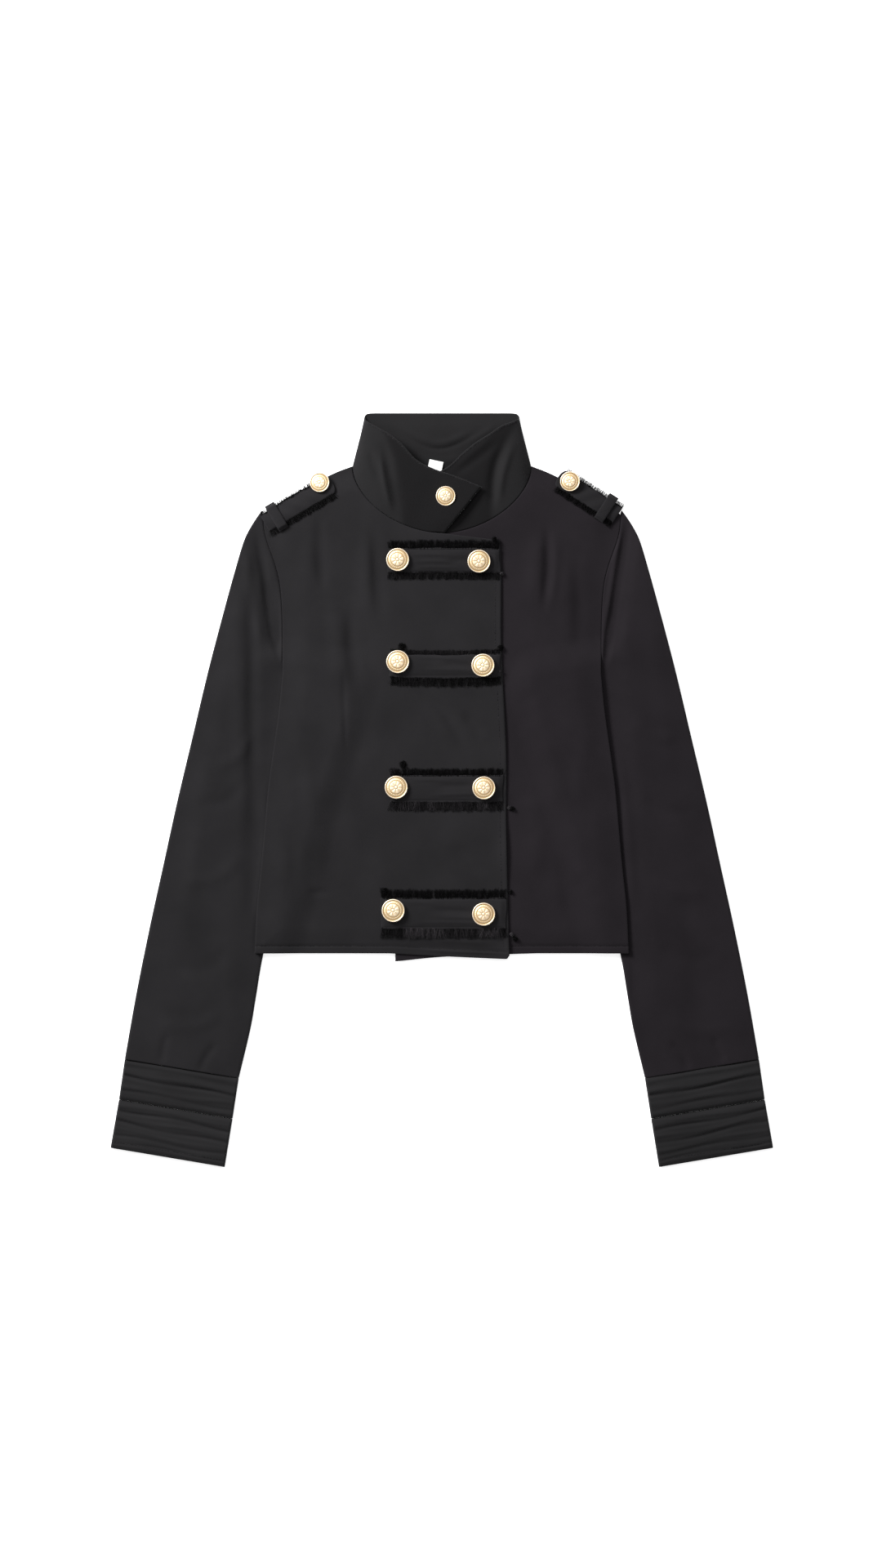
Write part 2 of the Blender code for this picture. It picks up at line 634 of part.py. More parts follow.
def finish(name):
    red, green, blue, roughness, metallic = COLOURS[name]
    material = bpy.data.materials.new(name)
    material.use_nodes = True
    shader = material.node_tree.nodes["Principled BSDF"]
    shader.inputs["Base Color"].default_value = (red, green, blue, 1)
    shader.inputs["Roughness"].default_value = roughness
    shader.inputs["Metallic"].default_value = metallic
    return material


def body_panels(cloth):
    rows = np.arange(HEM_Y + ROW_STEP * 0.75, 300, ROW_STEP)
    climbing = COLUMNS[np.abs(COLUMNS) > FLAT_HALF_WIDTH]
    sheet("back", back_outline(), under_back, WALL, cloth, climbing, rows)
    sheet("front_left", front_outline_left(), under_front, WALL, cloth, COLUMNS, rows)
    sheet("front_right", front_outline_right(), under_lap, WALL, cloth, COLUMNS, rows)


def main():
    cloth, thread, metal, label = (finish(name) for name in COLOURS)
    body_panels(cloth)
    for side, word in ((-1, "right"), (1, "left")):
        sleeve(side, f"sleeve_{word}", cloth)
        for (name, height), upper, lower in zip(CUFF_BANDS, CUFF_LINES, CUFF_LINES[1:]):
            cuff_band(side, f"{name}_{word}", upper, lower, height, cloth)
    button("button_collar", collar(cloth), COLLAR_BUTTON, 0, SMALL_BUTTON_RADIUS, metal)
    neck_label(label)
    for number, (row, (rx, ry, lx, ly)) in enumerate(zip(TABS, FRONT_BUTTONS), 1):
        strap = tab(number, row, cloth, thread)
        button(f"button_{number}_right", strap, (rx, ry), WALL, FRONT_BUTTON_RADIUS, metal)
        button(f"button_{number}_left", strap, (lx, ly), WALL, FRONT_BUTTON_RADIUS, metal)
    for row in EPAULETTES:
        epaulette(row, cloth, thread, metal)


for old in list(bpy.data.objects):
    bpy.data.objects.remove(old, do_unlink=True)
PARTS = bpy.data.collections.new("jacket")
bpy.context.scene.collection.children.link(PARTS)
main()
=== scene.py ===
# %% [markdown]
# A short black military jacket, laid flat on its back with the front up.
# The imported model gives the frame: every cloth panel, strap and button at its real place. This lesson dresses
# it, piece by piece. It comes first because each piece below has to stand where the frame's piece stands.

# %% Load the frame
import math

import bpy
import numpy as np
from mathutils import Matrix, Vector


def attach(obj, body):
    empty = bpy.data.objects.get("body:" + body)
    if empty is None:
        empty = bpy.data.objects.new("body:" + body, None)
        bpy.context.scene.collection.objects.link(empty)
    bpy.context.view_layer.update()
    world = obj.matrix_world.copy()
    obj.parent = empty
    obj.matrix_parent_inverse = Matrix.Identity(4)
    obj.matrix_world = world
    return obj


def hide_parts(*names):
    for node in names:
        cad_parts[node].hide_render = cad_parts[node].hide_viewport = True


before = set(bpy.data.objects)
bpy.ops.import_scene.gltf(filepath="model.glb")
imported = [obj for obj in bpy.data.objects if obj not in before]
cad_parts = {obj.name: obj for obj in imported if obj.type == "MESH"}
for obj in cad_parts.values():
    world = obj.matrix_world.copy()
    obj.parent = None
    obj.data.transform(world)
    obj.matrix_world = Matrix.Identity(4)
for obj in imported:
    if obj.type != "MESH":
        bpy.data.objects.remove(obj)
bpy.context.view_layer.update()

MM = 0.001

# %% [markdown]
# The camera looks straight down from four metres with a long lens, as in a catalogue picture of flat clothes.
# A long lens keeps the thick parts from leaning outwards. The picture is taken to be 1080 by 1920, and 1920
# rows show one and a half metres, which sets the focal length.

# %% Camera
CAMERA_HEIGHT = 4.0
CAMERA_CENTRE = (-0.0008, 0.00585)
VIEW_HEIGHT = 1.4976
CLOTH_LEVEL = 0.005
SENSOR = 36.0


def make_camera():
    """A camera over the cloth: focal length = sensor · distance / height of the view."""
    data = bpy.data.cameras.new("camera")
    data.sensor_width = SENSOR
    data.lens = SENSOR * (CAMERA_HEIGHT - CLOTH_LEVEL) / VIEW_HEIGHT
    data.clip_end = 50
    camera = bpy.data.objects.new("camera", data)
    bpy.context.scene.collection.objects.link(camera)
    camera.location = (*CAMERA_CENTRE, CAMERA_HEIGHT)
    bpy.context.scene.camera = camera
    print("camera lens:", round(data.lens, 1), "mm")


make_camera()

# %% [markdown]
# Black cloth on a white ground is a hard pair to light: the ground has to stay white while the cloth still
# shows its folds. The ground is a light table, which glows a little, so that no shadow greys it. One low soft
# lamp beyond the wearer's right shoulder rakes over the cloth and gives each fold a light and a dark side, and
# a weak even sky fills the shadows.

# %% Floor and lights
FLOOR_LEVEL = -0.0004
FLOOR_HALF = 6.0
FLOOR_GLOW = 0.62
SKY = 0.5
LAMPS = [  # x, y, z, size, power
    (-1.95, 1.65, 1.5, 0.9, 170.0),
    (-0.4, 1.6, 2.6, 1.2, 22.0),
]


def make_floor():
    mesh = bpy.data.meshes.new("floor")
    corners = [(x * FLOOR_HALF, y * FLOOR_HALF, FLOOR_LEVEL) for x, y in ((-1, -1), (1, -1), (1, 1), (-1, 1))]
    mesh.from_pydata(corners, [], [(0, 1, 2, 3)])
    floor = bpy.data.objects.new("floor", mesh)
    bpy.context.scene.collection.objects.link(floor)
    white = bpy.data.materials.new("white_floor")
    white.use_nodes = True
    shader = white.node_tree.nodes["Principled BSDF"]
    shader.inputs["Base Color"].default_value = (0.93, 0.93, 0.93, 1)
    shader.inputs["Roughness"].default_value = 0.9
    shader.inputs["Specular IOR Level"].default_value = 0.1
    shader.inputs["Emission Color"].default_value = (1, 1, 1, 1)
    shader.inputs["Emission Strength"].default_value = FLOOR_GLOW
    mesh.materials.append(white)


def make_lights():
    world = bpy.data.worlds.new("sky")
    world.use_nodes = True
    background = world.node_tree.nodes["Background"]
    background.inputs["Color"].default_value = (1, 1, 1, 1)
    background.inputs["Strength"].default_value = SKY
    bpy.context.scene.world = world
    for k, (x, y, z, size, power) in enumerate(LAMPS):
        data = bpy.data.lights.new(f"lamp_{k}", "AREA")
        data.size = size
        data.energy = power
        lamp = bpy.data.objects.new(f"lamp_{k}", data)
        lamp.location = (x, y, z)
        lamp.rotation_euler = Vector((-x, -y, -z)).to_track_quat("-Z", "Y").to_euler()
        bpy.context.scene.collection.objects.link(lamp)
    bpy.context.scene.view_settings.view_transform = "Standard"
    print("lamps:", len(LAMPS))


make_floor()
make_lights()

# %% [markdown]
# The cloth is a matte black twill. Its colour wanders slightly, because dark dye is never even, and a fine
# diagonal rib gives it tooth. The rib could be modelled, but it is under a millimetre wide, so it is bump.
# A weak sheen stands for the nap, which catches light along every edge. The pattern reads each piece's own
# map, whose unit is the metre, so that the rib follows the cloth.

# %% Cloth, thread, metal and label finishes
TWILL_RIB = 0.0011
# Painted shade: the tint that a shaded cloth's colour is multiplied by where its shade attribute is 1.
PAINTED_SHADE_TINT = (0.45, 0.44, 0.45)
WAVE_TURN = 2 * math.pi / 10


def node(tree, kind, **values):
    """A new shader node, with its sockets set by name; a word that is no socket is set on the node itself."""
    made = tree.nodes.new(kind)
    for key, value in values.items():
        socket = key.replace("_", " ")
        if socket in made.inputs:
            made.inputs[socket].default_value = value
        else:
            setattr(made, key, value)
    return made


def new_material(name, **values):
    material = bpy.data.materials.new(name)
    material.use_nodes = True
    shader = material.node_tree.nodes["Principled BSDF"]
    for key, value in values.items():
        shader.inputs[key.replace("_", " ")].default_value = value
    return material, material.node_tree, shader


def blotched(tree, shader, dark, light, size, source="Object"):
    """Base colour between two tones, chosen by soft noise of the given size in metres."""
    place = node(tree, "ShaderNodeTexCoord")
    noise = node(tree, "ShaderNodeTexNoise", Scale=1 / size, Detail=4.0, Roughness=0.55)
    ramp = node(tree, "ShaderNodeValToRGB")
    ramp.color_ramp.elements[0].color = (*dark, 1)
    ramp.color_ramp.elements[1].color = (*light, 1)
    ramp.color_ramp.elements[0].position = 0.3
    ramp.color_ramp.elements[1].position = 0.7
    tree.links.new(place.outputs[source], noise.inputs["Vector"])
    tree.links.new(noise.outputs["Fac"], ramp.inputs["Fac"])
    tree.links.new(ramp.outputs["Color"], shader.inputs["Base Color"])


def twill(name, dark, light, sheen=0.05, rib=TWILL_RIB, strength=0.25, with_painted_shade=False):
    """A woven cloth: bump = a diagonal wave of the rib's width times a finer cross wave, plus a little noise.
    With painted shade on, its colour is multiplied darker where the piece's shade attribute nears 1."""
    material, tree, shader = new_material(
        name, Roughness=0.88, Specular_IOR_Level=0.10, Sheen_Weight=sheen, Sheen_Roughness=0.5,
        Sheen_Tint=(0.75, 0.72, 0.78, 1),
    )
    blotched(tree, shader, dark, light, 0.05)
    # Painted shade: the colour is darkened towards the tint above by the piece's shade attribute.
    if with_painted_shade:
        painted_shade = node(tree, "ShaderNodeAttribute", attribute_name="painted_shade")
        deep = node(tree, "ShaderNodeMix", data_type="RGBA", blend_type="MULTIPLY")
        deep.inputs[7].default_value = (*PAINTED_SHADE_TINT, 1)
        tree.links.new(shader.inputs["Base Color"].links[0].from_socket, deep.inputs[6])
        tree.links.new(painted_shade.outputs["Fac"], deep.inputs[0])
        tree.links.new(deep.outputs[2], shader.inputs["Base Color"])
    place = node(tree, "ShaderNodeTexCoord")
    wave = node(tree, "ShaderNodeTexWave", Scale=WAVE_TURN / rib, Distortion=0.6, bands_direction="DIAGONAL")
    cross = node(tree, "ShaderNodeTexWave", Scale=WAVE_TURN / rib, Distortion=0.4, bands_direction="X")
    fuzz = node(tree, "ShaderNodeTexNoise", Scale=1 / 0.0014, Detail=2.0)
    product = node(tree, "ShaderNodeMath", operation="MULTIPLY")
    total = node(tree, "ShaderNodeMath", operation="ADD")
    bump = node(tree, "ShaderNodeBump", Strength=strength, Distance=0.0003)
    for texture in (wave, cross, fuzz):
        tree.links.new(place.outputs["UV"], texture.inputs["Vector"])
    tree.links.new(wave.outputs["Fac"], product.inputs[0])
    tree.links.new(cross.outputs["Fac"], product.inputs[1])
    tree.links.new(product.outputs[0], total.inputs[0])
    tree.links.new(fuzz.outputs["Fac"], total.inputs[1])
    tree.links.new(total.outputs[0], bump.inputs["Height"])
    tree.links.new(bump.outputs["Normal"], shader.inputs["Normal"])
    return material


def yarn(name, dark, light):
    """Loose thread: nearly black, with no gloss, each thread its own tone by its own attribute."""
    material, tree, shader = new_material(name, Roughness=0.95, Specular_IOR_Level=0.05, Sheen_Weight=0.02)
    tone = node(tree, "ShaderNodeAttribute", attribute_name="tone")
    ramp = node(tree, "ShaderNodeValToRGB")
    ramp.color_ramp.elements[0].color = (*dark, 1)
    ramp.color_ramp.elements[1].color = (*light, 1)
    tree.links.new(tone.outputs["Fac"], ramp.inputs["Fac"])
    tree.links.new(ramp.outputs["Color"], shader.inputs["Base Color"])
    return material


def gilt(name):
    """Pale gilt: the hollows of the ornament keep a brown patina, the raised parts are rubbed bright."""
    material, tree, shader = new_material(name, Metallic=1.0, Specular_IOR_Level=0.5)
    relief = node(tree, "ShaderNodeAttribute", attribute_name="relief")
    place = node(tree, "ShaderNodeTexCoord")
    grain = node(tree, "ShaderNodeTexNoise", Scale=900.0, Detail=3.0)
    ramp = node(tree, "ShaderNodeValToRGB")
    stops = [
        (0.0, (0.22, 0.14, 0.06)), (0.36, (0.50, 0.37, 0.19)), (0.64, (0.80, 0.65, 0.42)), (1.0, (1.0, 0.92, 0.76)),
    ]
    ramp.color_ramp.elements[0].color = (*stops[0][1], 1)
    ramp.color_ramp.elements[1].color = (*stops[-1][1], 1)
    for position, colour in stops[1:-1]:
        ramp.color_ramp.elements.new(position).color = (*colour, 1)
    rough = node(tree, "ShaderNodeMapRange", To_Min=0.46, To_Max=0.62)
    bump = node(tree, "ShaderNodeBump", Strength=0.12, Distance=0.0001)
    tree.links.new(place.outputs["Object"], grain.inputs["Vector"])
    tree.links.new(relief.outputs["Fac"], ramp.inputs["Fac"])
    hue = node(tree, "ShaderNodeTexNoise", Scale=45.0, Detail=1.0)
    warm = node(tree, "ShaderNodeMix", data_type="RGBA", blend_type="MULTIPLY")
    warm.inputs[7].default_value = (1.0, 0.90, 0.84, 1)
    tree.links.new(place.outputs["Object"], hue.inputs["Vector"])
    tree.links.new(hue.outputs["Fac"], warm.inputs[0])
    tree.links.new(ramp.outputs["Color"], warm.inputs[6])
    tree.links.new(warm.outputs[2], shader.inputs["Base Color"])
    tree.links.new(grain.outputs["Fac"], rough.inputs["Value"])
    tree.links.new(rough.outputs["Result"], shader.inputs["Roughness"])
    tree.links.new(grain.outputs["Fac"], bump.inputs["Height"])
    tree.links.new(bump.outputs["Normal"], shader.inputs["Normal"])
    return material


CLOTH = twill("black_twill", (0.0092, 0.0087, 0.0095), (0.0122, 0.0115, 0.0126))
# A darker, slightly warmer copy of the twill for the wearer's left front and sleeve: its darkness is painted shade for
# the side turned away from the lamp.
CLOTH_PAINTED_SHADE_SIDE = twill("black_twill_painted_shade_side", (0.0082, 0.0066, 0.0082), (0.0108, 0.0088, 0.0108))
CUFF_CLOTH = twill("black_twill_cuff", (0.0096, 0.0093, 0.0098), (0.0124, 0.0120, 0.0127))
# The collar's twill is a little darker than the body's, and its shade attribute paints shade into the wings' hollow
# front.
COLLAR_CLOTH_PAINTED_SHADE = twill("black_twill_collar_painted_shade", (0.0092, 0.0089, 0.0094), (0.0116, 0.0112, 0.0118), with_painted_shade=True)
THREAD = yarn("frayed_thread", (0.0006, 0.0005, 0.0006), (0.042, 0.038, 0.042))
SEWING = yarn("sewing_thread", (0.004, 0.0036, 0.0042), (0.024, 0.0225, 0.0245))
GILT = gilt("pale_gilt")
LABEL = twill("label_satin", (0.62, 0.62, 0.60), (0.74, 0.74, 0.73), sheen=0.3, rib=0.0005, strength=0.15)
print("finishes:", len(bpy.data.materials))

# %% [markdown]
# Every size below is in millimetres and is a size of the real jacket: the outline of the body, the neckline,
# the lap, the sleeve's two folds, the lines of the cuff. They are the same values that the frame was built
# from, so the dressed pieces lie exactly where the plain ones do.

# %% The jacket's sizes
WALL = 1.4
LAYER = 0.4
SEAM = 0.3
NEAR = 4.0
HEM_Y = -156.0
UNDERARM_Y = 112.0
SIDE = [  # x, y
    (178.7, HEM_Y), (176.3, -110), (172.9, -78), (168.9, -34), (165.5, 3), (160.5, 40), (155.5, 76), (152, UNDERARM_Y),
]
ARMHOLE = [(152, UNDERARM_Y), (152.5, 165), (154.5, 195), (159, 215), (168.5, 243), (171, 263)]  # x, y
SHOULDER = [(171, 263), (160, 271.5), (140, 284), (104, 302.3), (85.5, 309.5)]  # x, y
NECK_HALF_WIDTH = 85.5
NECK_Y = 309.5
NECK_DEPTH = 64.0
NECK_POWER = 1.8
BACK_NECK_SAG = 8.0
LAP_EDGE = [(64.7, -158), (62.9, -95), (61.6, -25), (61.6, 37), (57, 138), (56.9, 208), (55.4, 238.3)]  # x, y
LAP_HEM = [(-50, HEM_Y), (-0.8, -158.7), (62.2, -161.5)]  # x, y
UNDERLAP_X = -46.0
UNDERLAP_HEM = [(-44.5, -163.8), (-0.8, -159.5), (60, -157), (90, HEM_Y)]  # x, y
LAP_TOP_Y = 238.3
LAP_RAMP = 34.0
SLEEVE_OUTER = [  # x, y
    (171.8, 267.5), (177.4, 260), (184.5, 248.4), (190, 236), (198.1, 208.7), (206.7, 177.5), (223.1, 115.1),
    (237.9, 52.7), (252.7, -9.8), (266.4, -72.2), (280, -134.6), (292.5, -197), (303, -257),
]
SLEEVE_INNER = [  # x, y
    (97, 100), (107, 65), (122, 20), (139.5, -35), (156, -100), (170.4, -156), (177.5, -197), (182.9, -228.2),
    (194, -275),
]
SLEEVE_HIDDEN_END = [(97, 100), (120, 104), (145, 108), (152.9, 110.2)]  # x, y
SLEEVE_SEAM_START_Y = 112.5
SLEEVE_TUCK = (151.2, 109.6)
SEWN_TUCK = 0.6
TUCK_DROP = 1.15
TUCK_WIDTH = 1.8
LOW_REACH = 6.0
SLEEVE_FLAT = 4.2
SLEEVE_CROWN = 1.6
SEAM_BLEND = 25.0
UNDERARM_BLEND = 26.0
CUFF_LINES = [  # inner x, y, outer x, y
    (194, -275, 303, -257), (200, -314, 308.6, -295.8), (207.5, -360.4, 316.7, -342),
]
CUFF_BANDS = [("cuff_upper", 6.2), ("cuff_lower", 5.7)]  # name, height
CLIMB = 4.6
CLIMB_MARGIN = 10.0
CLIMB_WIDTH = 30.0
NECK_RISE = 2.5
NECK_RISE_REACH = 0.6
NECK_RISE_FROM_SHOULDER = 25.0

# %% [markdown]
# Cloth folds along soft lines. Each crease here is three points of such a line, with a width and a height:
# above 0 it is a ridge, below 0 a trough. Sewn pieces lie on each other, so one table serves both fronts,
# and whatever lies on them follows the same creases.

# %% Folds and creases of the fronts
FOLDS = [  # x0, y0, x1, y1, half width, height
    (-71, 256, -70, 160, 8, 2.0),
    (-96, 182, -94, 88, 9, 1.8),
    (-128, 246, -125, 186, 8, 1.4),
    (92, 256, 90, 172, 9, 2.0),
    (118, 230, 121, 120, 9, 1.3),
    (-18, 92, 22, 34, 8, 1.2),
    (96, -20, 88, -92, 10, 1.2),
    (-112, -30, -118, -110, 10, 1.2),
]
FRONT_CREASES = [  # x0, y0, x1, y1, x2, y2, half width, height
    (-117, 268, -116, 228, -113, 186, 5.0, -1.9),
    (-66, 262, -62, 214, -57, 152, 6.0, -2.4),
    (-90, 182, -86, 136, -79, 84, 6.0, -1.9),
    (-94, 122, -93, 76, -91, 28, 2.4, -0.9),
    (-104, 200, -103, 160, -101, 96, 7.0, 0.9),
    (-130, -97, -117, -98, -104, -97, 4.0, -0.9),
    (-140, 60, -128, 20, -126, -40, 9.0, 1.2),
    (-150, -20, -140, -70, -142, -120, 7.0, -1.0),
    (-100, 20, -84, -30, -80, -84, 10.0, 1.0),
    (-34, 102, -2, 78, 26, 32, 5.0, -1.3),
    (-24, 104, 12, 76, 38, 36, 5.0, 0.7),
    (4, -50, 22, -64, 46, -84, 8.0, -1.3),
    (18, 76, 32, 62, 42, 48, 6.0, -1.1),
    (100, 258, 101, 214, 97, 164, 3.8, -2.6),
    (108, 250, 109, 214, 104, 170, 4.0, 0.9),
    (127, 232, 131, 180, 130, 120, 6.0, -1.2),
    (78, 98, 82, 80, 90, 60, 8.0, -1.2),
    (72, 4, 76, -16, 86, -36, 8.0, -1.2),
    (126, -78, 137, -94, 152, -112, 8.0, -1.1),
    (84, 50, 104, 20, 112, -20, 9.0, 0.9),
    (142, 70, 132, 20, 134, -40, 9.0, 1.0),
    (112, -40, 108, -80, 116, -130, 9.0, 0.9),
    (-38, -147, 10, -150, 58, -151.5, 1.7, -0.8),
    (-30, -151.5, 12, -154.5, 60, -156.5, 1.6, 0.7),
    (-20, -142, 20, -144.5, 58, -146.5, 2.0, 0.6),
    (10, -156, 34, -157.5, 60, -159, 1.4, -0.6),
]


def smooth(t):
    """S(t) = t²(3 − 2t), with t held between 0 and 1."""
    t = np.clip(t, 0, 1)
    return t * t * (3 - 2 * t)


def through(points, step):
    """Points about step apart on the Catmull-Rom curve through the given ones:
    P(t) = ½(2b + (c − a)t + (2a − 5b + 4c − d)t² + (3b − a − 3c + d)t³) between b and c."""
    p = np.array(points, float)
    padded = np.vstack([2 * p[0] - p[1], p, 2 * p[-1] - p[-2]])
    fine = [p[:1]]
    for a, b, c, d in zip(padded[:-3], padded[1:-2], padded[2:-1], padded[3:]):
        t = np.linspace(0, 1, 13)[1:, None]
        fine.append(0.5 * (2 * b + (c - a) * t + (2 * a - 5 * b + 4 * c - d) * t**2 + (3 * b - a - 3 * c + d) * t**3))
    fine = np.vstack(fine)
    return along(fine, np.linspace(0, 1, max(2, round(length(fine) / step) + 1)))


def length(points):
    return float(np.linalg.norm(np.diff(points, axis=0), axis=1).sum())


def along(points, shares):
    """The points at the given shares of a line's length."""
    run = np.concatenate([[0], np.cumsum(np.linalg.norm(np.diff(points, axis=0), axis=1))])
    return np.stack([np.interp(np.asarray(shares) * run[-1], run, column) for column in points.T], axis=1)


def mirrored(points):
    return np.asarray(points, float)[::-1] * [-1, 1]


def beside(x, y, line):
    """Each place's signed distance from a line, and the share of the line's length at the nearest point:
    on a segment from a to b, t = clip((p − a)·(b − a) / |b − a|², 0, 1) and d = |p − a − t(b − a)|."""
    a, ab = line[:-1], np.diff(line, axis=0)
    run = np.hypot(ab[:, 0], ab[:, 1])
    start = np.cumsum(run) - run
    px, py = x[..., None] - a[:, 0], y[..., None] - a[:, 1]
    t = np.clip((px * ab[:, 0] + py * ab[:, 1]) / run**2, 0, 1)
    off = np.hypot(px - t * ab[:, 0], py - t * ab[:, 1])
    nearest = off.argmin(axis=-1)[..., None]
    turn = np.sign(px * ab[:, 1] - py * ab[:, 0])
    signed, share = (np.take_along_axis(v, nearest, axis=-1)[..., 0] for v in (off * turn, (start + t * run) / run.sum()))
    return signed, share


def creases(x, y, rows, taper=2.6):
    """The sum over the rows of height · exp(−(d / half width)²) · S(taper · s) · S(taper · (1 − s))."""
    x, y = np.broadcast_arrays(np.asarray(x, float), np.asarray(y, float))
    total = np.zeros(x.shape)
    for *points, half_width, height in rows:
        line = through(np.reshape(points, (-1, 2)), 8)
        off, share = beside(x, y, line)
        total += height * np.exp(-((off / half_width) ** 2)) * smooth(taper * share) * smooth(taper * (1 - share))
    return total


def rumple(x, y, height, seed):
    """Slow unevenness: the sum of six plane waves of 45 to 120 mm, each with its own direction and phase."""
    rng = np.random.default_rng(seed)
    turn, wave, phase = rng.uniform(0, math.pi, 6), rng.uniform(45, 120, 6), rng.uniform(0, 2 * math.pi, 6)
    total = 0
    for a, w, p in zip(turn, wave, phase):
        total = total + np.sin((x * math.cos(a) + y * math.sin(a)) * 2 * math.pi / w + p)
    return total * height / 6


def folds(x, y):
    """Soft ridges that die away towards both ends."""
    total = np.zeros(np.broadcast(x, y).shape)
    for x0, y0, x1, y1, half_width, height in FOLDS:
        run = math.hypot(x1 - x0, y1 - y0)
        ux, uy = (x1 - x0) / run, (y1 - y0) / run
        t = ((x - x0) * ux + (y - y0) * uy) / run
        off = (x - x0) * uy - (y - y0) * ux
        total += height * np.exp(-((off / half_width) ** 2)) * smooth(2.2 * t) * smooth(2.2 * (1 - t))
    return total


print("creases of the fronts:", len(FRONT_CREASES), "and folds:", len(FOLDS))

# %% [markdown]
# The heights are stacked as the cloth lies: the body climbs over the sleeves, the wearer's left front lies on
# the back, the right front laps over it, and the straps lie on the lap. Each height is a function of the place
# in plan, so a piece that lies on another takes that piece's height and adds its own.

# %% Heights of the stacked cloth
BODY_EDGE = np.vstack([through(SIDE, 4), through(ARMHOLE, 4)[1:]])
EASE = 2.2
EASE_REACH = 26.0
LEAST_GAP = 0.3


def body_half_width(y):
    return np.interp(y, BODY_EDGE[:, 1], BODY_EDGE[:, 0])


def neckline(turn):
    """(a·cos θ, y₀ − b·(1 − |cos θ|ᵖ)^(1/p)): half of a superellipse, hung from the two neck points."""
    c = np.cos(np.radians(turn))
    drop = (1 - np.abs(c) ** NECK_POWER) ** (1 / NECK_POWER)
    return np.stack([NECK_HALF_WIDTH * c, NECK_Y - NECK_DEPTH * drop], axis=-1)


def back_neck_y(x):
    return NECK_Y - BACK_NECK_SAG * (1 - (np.abs(x) / NECK_HALF_WIDTH) ** 2)


def climb(x, y):
    """How far the body is lifted by the sleeve beneath it: CLIMB · S(1 − distance outside the sleeve / width)."""
    x = np.abs(x)
    inner = np.array(SLEEVE_INNER)[::-1]
    end = np.array(SLEEVE_HIDDEN_END)
    inside = np.maximum(np.interp(y, inner[:, 1], inner[:, 0]) - x, 0)
    above = np.maximum(y - np.interp(x, end[:, 0], end[:, 1]), 0)
    away = np.hypot(inside, above) - CLIMB_MARGIN
    return CLIMB * smooth(1 - away / CLIMB_WIDTH)


def neck_rise(x, y):
    """The collar lifts the cloth round the neckline, but not at the shoulder seams."""
    rim = np.hypot(x / NECK_HALF_WIDTH, (y - NECK_Y) / NECK_DEPTH)
    shoulder = np.array(SHOULDER)[::-1]
    below = np.interp(np.abs(x), shoulder[:, 0], shoulder[:, 1]) - y
    return NECK_RISE * smooth(1 - (rim - 1) / NECK_RISE_REACH) * smooth(below / NECK_RISE_FROM_SHOULDER)


def ease(x, y):
    """The air under the fronts: EASE inside the panel, and none at its sewn edges."""
    shoulder = np.array(SHOULDER)[::-1]
    below = np.interp(np.abs(x), shoulder[:, 0], shoulder[:, 1]) - y
    edge = np.minimum(np.minimum(body_half_width(y) - np.abs(x), y - HEM_Y), below)
    return EASE * smooth(edge / EASE_REACH)


def relief(x, y):
    """Air, folds and creases; a trough deeper than the room over the back is rounded off at −room."""
    air = ease(x, y)
    marks = folds(x, y) + creases(x, y, FRONT_CREASES) + air / EASE * rumple(x, y, 0.9, 7)
    room = air + LAYER - LEAST_GAP
    return air + np.where(marks < 0, -room * (1 - np.exp(marks / room)), marks)


def under_front(x, y):
    return climb(x, y) + WALL + LAYER + neck_rise(x, y) + relief(x, y)


def lap_step(x):
    return (WALL + LAYER) * smooth((x - UNDERLAP_X) / LAP_RAMP + 1.25)


def under_lap(x, y):
    return under_front(x, y) + lap_step(x)


def highest_near(height, x, y):
    """The greatest of a height at a place and at its four neighbours, so that what lies there clears it."""
    steps = [(0, 0), (NEAR, 0), (-NEAR, 0), (0, NEAR), (0, -NEAR)]
    return np.max([height(x + dx, y + dy) for dx, dy in steps], axis=0)


def beyond_seam(x, y):
    """How far a place is outside the armhole seam, counted from the sleeve's tucked edge."""
    return x - body_half_width(y) + SEWN_TUCK


def seam_share(x, y):
    """1 where the sleeve meets the armhole seam, and 0 where it lies by itself."""
    up = smooth((y - UNDERARM_Y + 1.5) / UNDERARM_BLEND)
    return smooth(1 - (beyond_seam(x, y) - 1) / SEAM_BLEND) * up


def sleeve_high(x, y):
    """The sleeve's upper side: level with the front beside the seam, then a little crowned; its last two
    millimetres dip under the front's edge."""
    share, out = seam_share(x, y), beyond_seam(x, y)
    flat = SLEEVE_FLAT + SLEEVE_CROWN * smooth((out - 3) / SEAM_BLEND)
    dip = TUCK_DROP * smooth(1 - out / TUCK_WIDTH)
    return share * (climb(x, y) + 2 * WALL + LAYER - dip) + (1 - share) * flat


def sleeve_low(x, y):
    """The sleeve's lower side leaves the ground only close to the seam, where it tucks under the back."""
    near = smooth(1 - beyond_seam(x, y) / LOW_REACH)
    return np.maximum(near * seam_share(x, y) * (climb(x, y) - 0.5), 0)


def on_lap(x, y):
    return highest_near(under_lap, x, y) + WALL + SEAM


def on_shoulder(x, y):
    """What a shoulder strap lies on: the front, and past the armhole seam the sleeve's head."""
    past_seam = np.abs(x) > body_half_width(y) - NEAR
    sleeve = highest_near(sleeve_high, np.abs(x), y) + SEAM
    return np.maximum(highest_near(under_front, x, y) + WALL + SEAM, np.where(past_seam, sleeve, 0))


print("height of the lap at the middle:", np.round(under_lap(np.zeros(1), np.zeros(1)) + WALL, 2), "mm")

# %% [markdown]
# A piece of cloth is a shell: an outer and an inner side with a turned edge between them. Solidify would leave
# the edge square, and a folded edge is round, so the shell is worked out here. The wall narrows to nothing at
# the edge as a half circle does, and both sides share their last row of points, which closes the mesh.

# %% The cloth shell
ROLL = 1.5
EDGE_ROWS = (0.2, 0.55, 1.0, 1.6)


